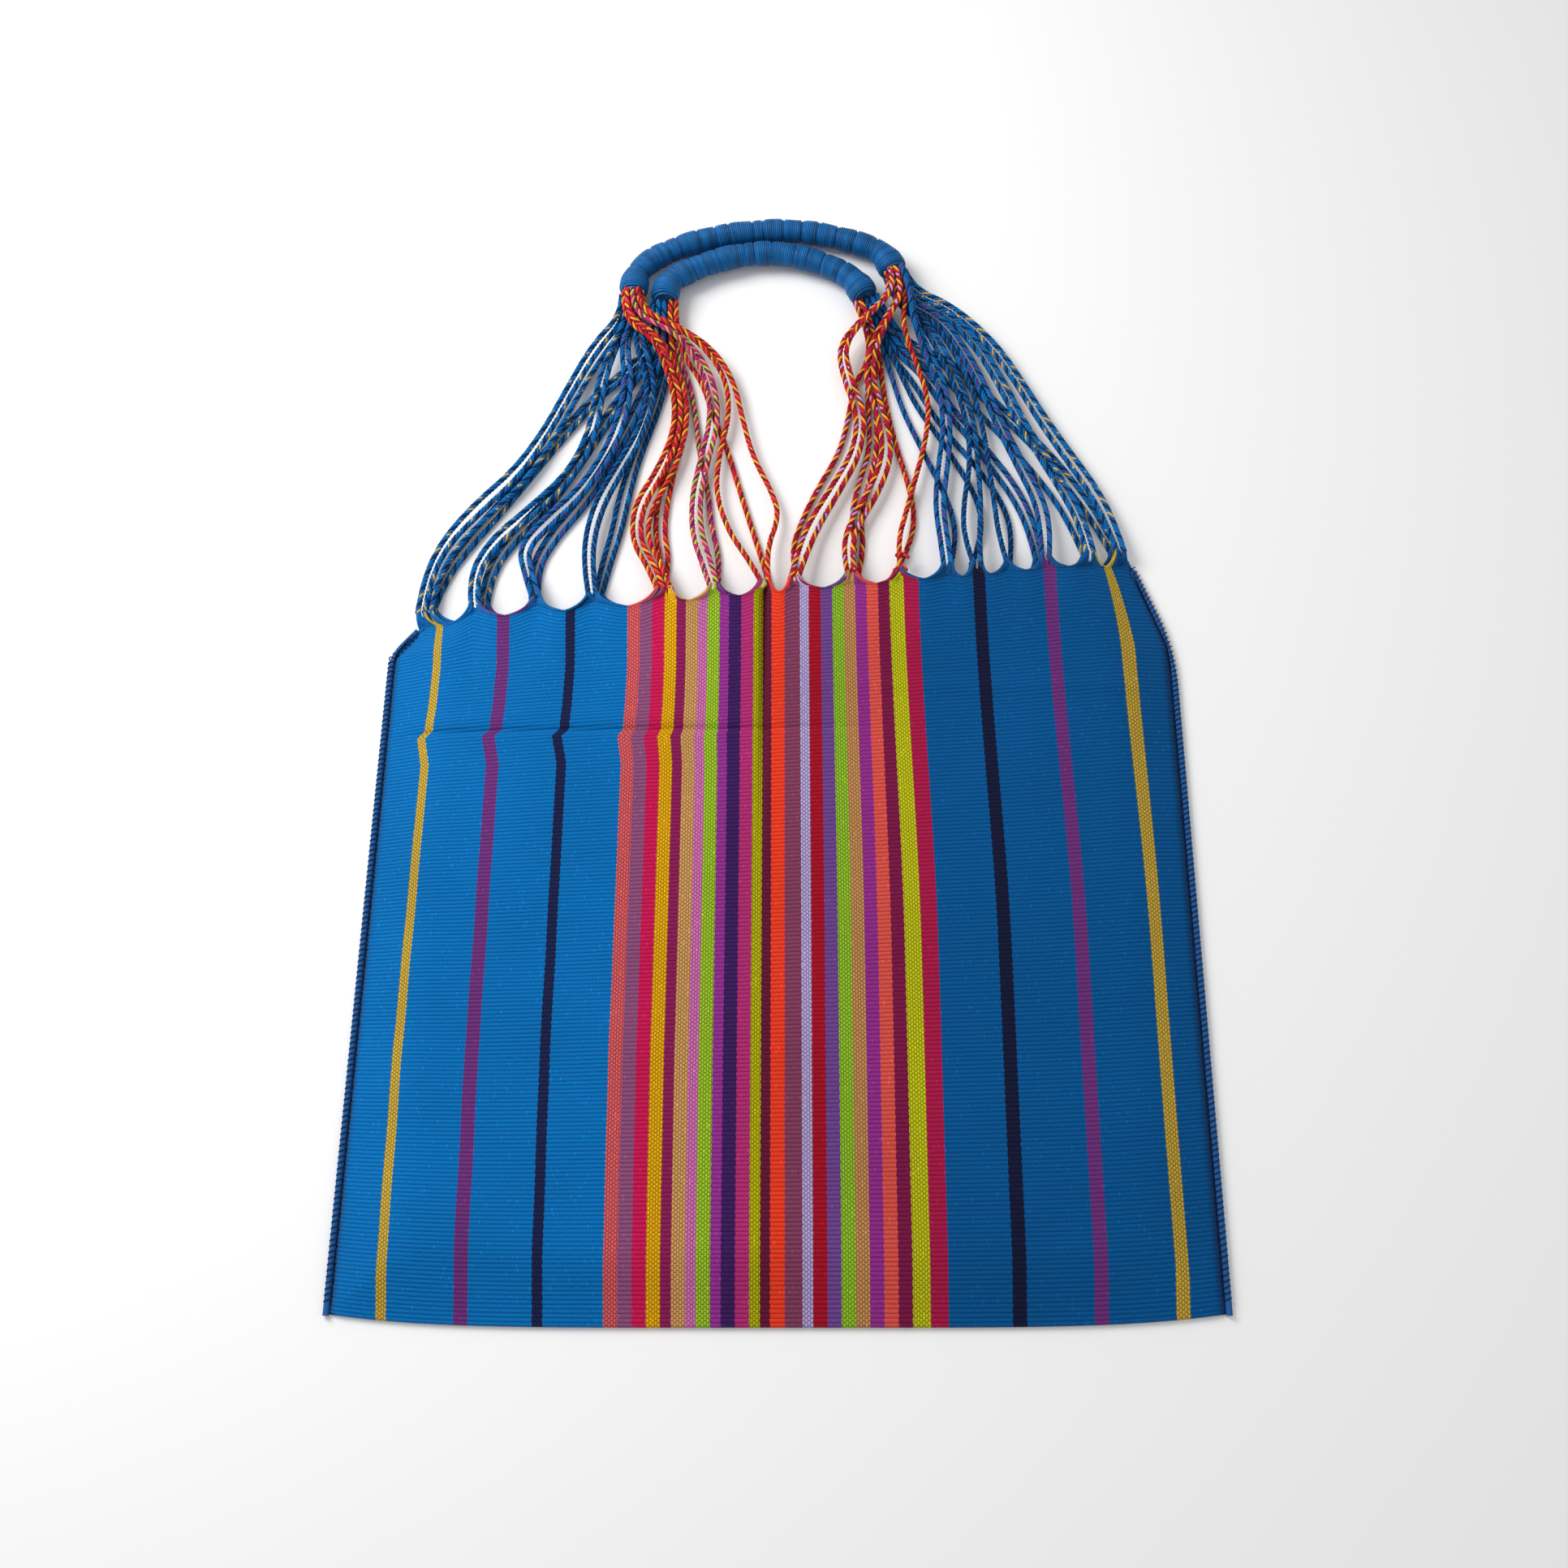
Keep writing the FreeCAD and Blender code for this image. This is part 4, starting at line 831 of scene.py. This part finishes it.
# The stripe colour includes the painted shade of the right half's blue and navy.
dye, basket = stripe_colour(weave, maths(weave, "MULTIPLY_ADD", stagger, 0.00024, across))
end_number = maths(weave, "DIVIDE", across, 0.0012)
odd_end = maths(weave, "MODULO", maths(weave, "FLOOR", maths(weave, "ADD", end_number, 400)), 2)
plain_wave = humps(weave, maths(weave, "MULTIPLY", rib_number, math.pi))
float_number = maths(weave, "MULTIPLY_ADD", odd_end, 0.5, rib_number)
float_wave = humps(weave, maths(weave, "MULTIPLY", float_number, math.pi))
end_wave = humps(weave, maths(weave, "MULTIPLY", end_number, math.pi))
basket_wave = maths(weave, "MULTIPLY", maths(weave, "POWER", float_wave, 0.7), maths(
    weave, "POWER", end_wave, 0.5))
wave = add_node(weave, "ShaderNodeMix", {0: basket, 2: plain_wave, 3: basket_wave}).outputs[0]
thread_place = add_node(weave, "ShaderNodeCombineXYZ", {
    "X": maths(weave, "MULTIPLY", across, 2600), "Y": maths(weave, "MULTIPLY", upwards, 500)}).outputs[0]
threads = add_node(weave, "ShaderNodeTexNoise", {"Vector": thread_place, "Scale": 1.0, "Detail": 2.0})
object_place = add_node(weave, "ShaderNodeTexCoord").outputs["Object"]
fading = add_node(weave, "ShaderNodeTexNoise", {"Vector": object_place, "Scale": 14.0, "Detail": 3.0})
cell = add_node(weave, "ShaderNodeCombineXYZ", {
    "X": maths(weave, "FLOOR", maths(weave, "MULTIPLY", across, 1600)),
    "Y": maths(weave, "FLOOR", rib_number)}).outputs[0]
thread_chance = add_node(weave, "ShaderNodeTexWhiteNoise", {"Vector": cell}).outputs[0]
slub = maths(weave, "GREATER_THAN", thread_chance, 0.988)
# Painted shade: the cotton is darkened in the valleys between the ribs and between the basket floats; the
# ribs themselves are also raised as real geometry.
valley_shade_depth = maths(weave, "MULTIPLY_ADD", basket, -0.30, 0.52)
valley_width = maths(weave, "MULTIPLY_ADD", basket, 0.25, 0.6)
painted_valley_shade = add_node(weave, "ShaderNodeMapRange", {
    "Value": wave, "From Max": valley_width, "To Min": valley_shade_depth})
thread_shade = varied(weave, threads.outputs["Fac"], 0.84, 1.12)
faded = varied(weave, fading.outputs["Fac"], 0.93, 1.06)
shade = maths(weave, "MULTIPLY", maths(weave, "MULTIPLY", painted_valley_shade.outputs[0], thread_shade),
              maths(weave, "MULTIPLY_ADD", slub, 0.35, faded))
shaded = vector_maths(weave, "SCALE", {0: dye, "Scale": shade})
weave.links.new(shaded, cotton.inputs["Base Color"])
weave_bump = add_node(weave, "ShaderNodeBump", {
    "Strength": 0.7, "Distance": 0.0003,
    "Height": maths(weave, "MULTIPLY_ADD", threads.outputs["Fac"], 0.35, wave)})
weave.links.new(weave_bump.outputs["Normal"], cotton.inputs["Normal"])
cotton.inputs["Roughness"].default_value = 0.72
cotton.inputs["Specular IOR Level"].default_value = 0.06
cotton.inputs["Sheen Weight"].default_value = 0.04
cotton.inputs["Sheen Roughness"].default_value = 0.5

columns = np.sort(np.concatenate((np.linspace(-cloth_half_width, cloth_half_width, 84),
                                  np.arange(-0.0165, 0.003, 0.0011))))
front_panel = placed("front_panel", worked_mesh(
    ribs_tree, panel_mesh("front", front_surface, 1, 4, columns),
    {"Rib pitch": rib_pitch, "Rib height": rib_height, "Material": striped_cotton}))
back_panel = placed("back_panel", worked_mesh(
    ribs_tree, panel_mesh("back", back_surface, -1, 3, np.linspace(-cloth_half_width, cloth_half_width, 90)),
    {"Rib pitch": rib_pitch, "Rib height": rib_height, "Material": striped_cotton}))
for panel in (front_panel, back_panel):
    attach(panel, "bag")
    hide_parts("woven_cloth")

# Warp ends. Past the woven edge the warp runs on unwoven, and the ends on each side of a root bend in to it
# and are twisted into its cords. A thin twined thread locks the woven edge from one shoulder to the other.
warp_end_radius = 0.00062
warp_end_pitch = 0.00105


def stripe_of_yarn(tree):
    """The dye of the stripe that a yarn belongs to, with the painted shade of the right half's blue and navy.
    """
    warp_place = add_node(tree, "ShaderNodeAttribute", attribute_name="warp_place").outputs["Fac"]
    return stripe_colour(tree, warp_place)[0]


warp_end_cotton = yarn_finish("warp_end_cotton", stripe_of_yarn, 0.003)
jitter = np.random.default_rng(7)
for face, surface, slot in (("front", front_surface, "warp_ends"), ("back", back_surface, "blue_warp_ends")):
    warp = np.arange(-0.1966, 0.1967, warp_end_pitch)
    rise = np.ones_like(warp)
    edge_x, edge_y, inwards = woven_place(warp, rise, face)
    edge_z = surface(edge_x, edge_y, inwards)
    edges = bunch_edges(face)
    into_cloth = -0.0004 if face == "front" else 0.0011
    lines = []
    warp_places = []
    for place, x, y, z in zip(warp, edge_x, edge_y, edge_z):
        number = int(np.clip(np.searchsorted(edges, x) - 1, 0, len(edges) - 2))
        root, starts = cord_starts[face][number]
        share = (x - edges[number]) / (edges[number + 1] - edges[number])
        cord_start = np.array(starts[min(int(share * len(starts)), len(starts) - 1)])
        turn = jitter.uniform(0, math.tau)
        target = cord_start + (0.0008 * math.cos(turn), 0.0014, 0.0008 * math.sin(turn))
        woven_end = np.array((x, y, z + into_cloth))
        across, climb, drop = target - woven_end
        bend = woven_end + (0.78 * across, 0.30 * climb, 0.5 * drop + jitter.uniform(0.0, 0.0010))
        leaving = woven_end + (0.05 * across, 0.0006, 0.0002)
        bezier = [(1 - t) ** 2 * leaving + 2 * t * (1 - t) * bend + t * t * target
                  for t in np.linspace(0, 1, 8)]
        lines.append([tuple(woven_end - (0, 0.0018, 0.0002))] + [tuple(point) for point in bezier])
        warp_places += [place] * 9
    ends = placed(f"{face}_warp_ends", laid(
        lines, [0.0] * len(warp_places), warp_end_cotton, plies=1, lay=0.003, step=0.0009,
        radius=warp_end_radius, sides=6, values=warp_places))
    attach(ends, "bag")
    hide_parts(f"{face}_warp_fans")

    thread_warp = np.arange(-0.1968, 0.197, 0.0005)
    thread_rise = np.ones_like(thread_warp)
    x, y, inwards = woven_place(thread_warp, thread_rise, face)
    z = surface(x, y, inwards)
    thread_line = list(zip(x, y + 0.0003, z + max(into_cloth, 0)))
    twined_thread = placed(f"{face}_twined_thread", laid(
        [thread_line], [0.0004] * len(thread_line), warp_end_cotton, plies=2, lay=0.0026, step=0.0004,
        radius=0.0004, sides=5, values=thread_warp.tolist()))
    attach(twined_thread, "bag")

# Side seams. The selvedges of the two panels are laid together and overcast by hand: a rolled bead of blue
# thread along each side, with a darker thread wound round it.
seam_bead_radius = 0.0014
overcast_pitch = 0.0026
overcast_radius = 0.00034
overcast_offset = 0.0013     # from the selvedge out to the middle of the bead
right_corner = (0.0355, 0.008)   # where the right bead turns in to the shoulder, and over what length
seam_thread_finish = yarn_finish("overcast_cotton", lambda tree: ply_colour(tree, (deep_blue,)), 0.002)
bead_cotton = bpy.data.materials.new("bead_cotton")
bead_cotton.use_nodes = True
bead = bead_cotton.node_tree
bead_shader = bead.nodes["Principled BSDF"]
bead_place = add_node(bead, "ShaderNodeTexCoord").outputs["Object"]
bead_y = add_node(bead, "ShaderNodeSeparateXYZ", {0: bead_place}).outputs["Y"]
bead_turns = humps(bead, maths(bead, "MULTIPLY", bead_y, math.pi / 0.0007))
bead_fuzz = add_node(bead, "ShaderNodeTexNoise", {"Vector": bead_place, "Scale": 1500.0, "Detail": 3.0})
# Painted shade: the bead's colour darkens in the grooves between its turns; the fuzz varies it at random.
bead_shade = maths(bead, "MULTIPLY",
                   add_node(bead, "ShaderNodeMapRange", {"Value": bead_turns, "To Min": 0.7}).outputs[0],
                   maths(bead, "MULTIPLY_ADD", bead_fuzz.outputs["Fac"], 0.6, 0.7))
bead.links.new(vector_maths(bead, "SCALE", {0: dyed(0, 88, 156), "Scale": bead_shade}),
               bead_shader.inputs["Base Color"])
bead_bump = add_node(bead, "ShaderNodeBump", {
    "Strength": 0.7, "Distance": 0.0002, "Height": maths(bead, "ADD", bead_turns, bead_fuzz.outputs["Fac"])})
bead.links.new(bead_bump.outputs["Normal"], bead_shader.inputs["Normal"])
bead_shader.inputs["Roughness"].default_value = 0.8
bead_shader.inputs["Sheen Weight"].default_value = 0.05
for side, way, corner_rounding in (("left", -1, 0.0), ("right", 1, 0.0014)):
    bead_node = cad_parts[f"{side}_seam_thread"]
    bead_node.data.materials.clear()
    bead_node.data.materials.append(bead_cotton)
    rise = np.linspace(0.012, 1, 160)
    x, y, inwards = woven_place(np.full_like(rise, way * cloth_half_width), rise, "front")
    x = x - corner_rounding * np.exp(-((y - right_corner[0]) / right_corner[1]) ** 2)
    line = list(zip(x + way * overcast_offset, y, np.full_like(x, seam_bead_radius + overcast_radius)))
    overcast = placed(f"{side}_overcast_thread", laid(
        [line], [seam_bead_radius] * len(line), seam_thread_finish, plies=1, lay=overcast_pitch,
        step=overcast_pitch / 14, radius=overcast_radius, sides=5))
    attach(overcast, "bag")

# Handles. Each is a thick hank of doubled cords, wound tightly with blue yarn from end to end. The winding is
# built up over the last centimetre, where the cords go in.
winding_pitch = 0.00108
winding_radius = 0.0006
wound_profile = ((0.0, 0.0004, 0.001, 0.0022, 0.004, 0.0085, 0.012, 0.016),
                 (0.0022, 0.0044, 0.0060, 0.0070, 0.0074, 0.0072, 0.0062, 0.0059))


def handle_dye_and_groove_shade(tree):
    """Blue that varies from turn to turn: partly the yarn's own tone, partly painted shade standing in for
    deeper grooves between the turns.
    """
    along = add_node(tree, "ShaderNodeAttribute", attribute_name="along").outputs["Fac"]
    patches = add_node(tree, "ShaderNodeTexNoise", {"W": maths(tree, "MULTIPLY", along, 240.0), "Scale": 1.0,
                                                    "Detail": 4.0}, noise_dimensions="1D")
    strength = varied(tree, patches.outputs[0], 0.62, 1.15)
    return vector_maths(tree, "SCALE", {0: dyed(0, 100, 166), "Scale": strength})


handle_cotton = yarn_finish("handle_cotton", handle_dye_and_groove_shade, 0.004)
handle_cotton.node_tree.nodes["Principled BSDF"].inputs["Roughness"].default_value = 0.5
handle_cotton.node_tree.nodes["Principled BSDF"].inputs["Specular IOR Level"].default_value = 0.25
hand = np.random.default_rng(3)
for face, line in (("front", front_handle_line), ("back", back_handle_line)):
    drawn_path = np.array(spline_points("handle_line", [(x, y, handle_z) for x, y in line]))
    reached = np.concatenate(((0,), np.cumsum(np.linalg.norm(np.diff(drawn_path, axis=0), axis=1))))
    travelled = np.linspace(0, reached[-1], int(reached[-1] / 0.0004))
    path = list(zip(*(np.interp(travelled, reached, drawn_path[:, axis]) for axis in range(3))))
    from_end = np.minimum(travelled, travelled[-1] - travelled)
    waviness = 0.00022 * np.sin(travelled * math.tau / 0.023 + hand.uniform(0, math.tau))
    creases = np.arange(0.016, travelled[-1] - 0.016, 0.0095)
    creases = creases + hand.uniform(-0.003, 0.003, len(creases))
    pinched = sum(0.0009 * np.exp(-((travelled - crease) / 0.0008) ** 2) for crease in creases)
    spreads = np.interp(from_end, *wound_profile) + waviness * eased(from_end, 0.004, 0.02) - pinched
    windings = placed(f"{face}_handle_windings", laid(
        [path], spreads.tolist(), handle_cotton, plies=1, lay=winding_pitch, step=winding_pitch / 20,
        radius=winding_radius, sides=6))

    hank = bpy.data.curves.new("hank", "CURVE")
    hank.dimensions = "3D"
    hank.bevel_depth = 1.0
    hank.bevel_resolution = 6
    hank.use_fill_caps = True
    spline = hank.splines.new("POLY")
    spline.points.add(len(path) - 1)
    for point, place, spread in zip(spline.points, path, spreads):
        point.co = (*place, 1)
        point.radius = spread
    hank_holder = bpy.data.objects.new("hank", hank)
    bpy.context.scene.collection.objects.link(hank_holder)
    stuffing = placed(f"{face}_handle_hank", bpy.data.meshes.new_from_object(hank_holder))
    bpy.data.objects.remove(hank_holder)
    stuffing.data.materials.clear()
    stuffing.data.materials.append(handle_cotton)
    stuffing.data.shade_smooth()
    for piece, slot in ((windings, "handle_yarn"), (stuffing, "core_cord")):
        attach(piece, f"{face}_net")
    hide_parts(f"{face}_handle_wrap", f"{face}_handle_left_binding",
                f"{face}_handle_right_binding")
    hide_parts(f"{face}_handle_core")
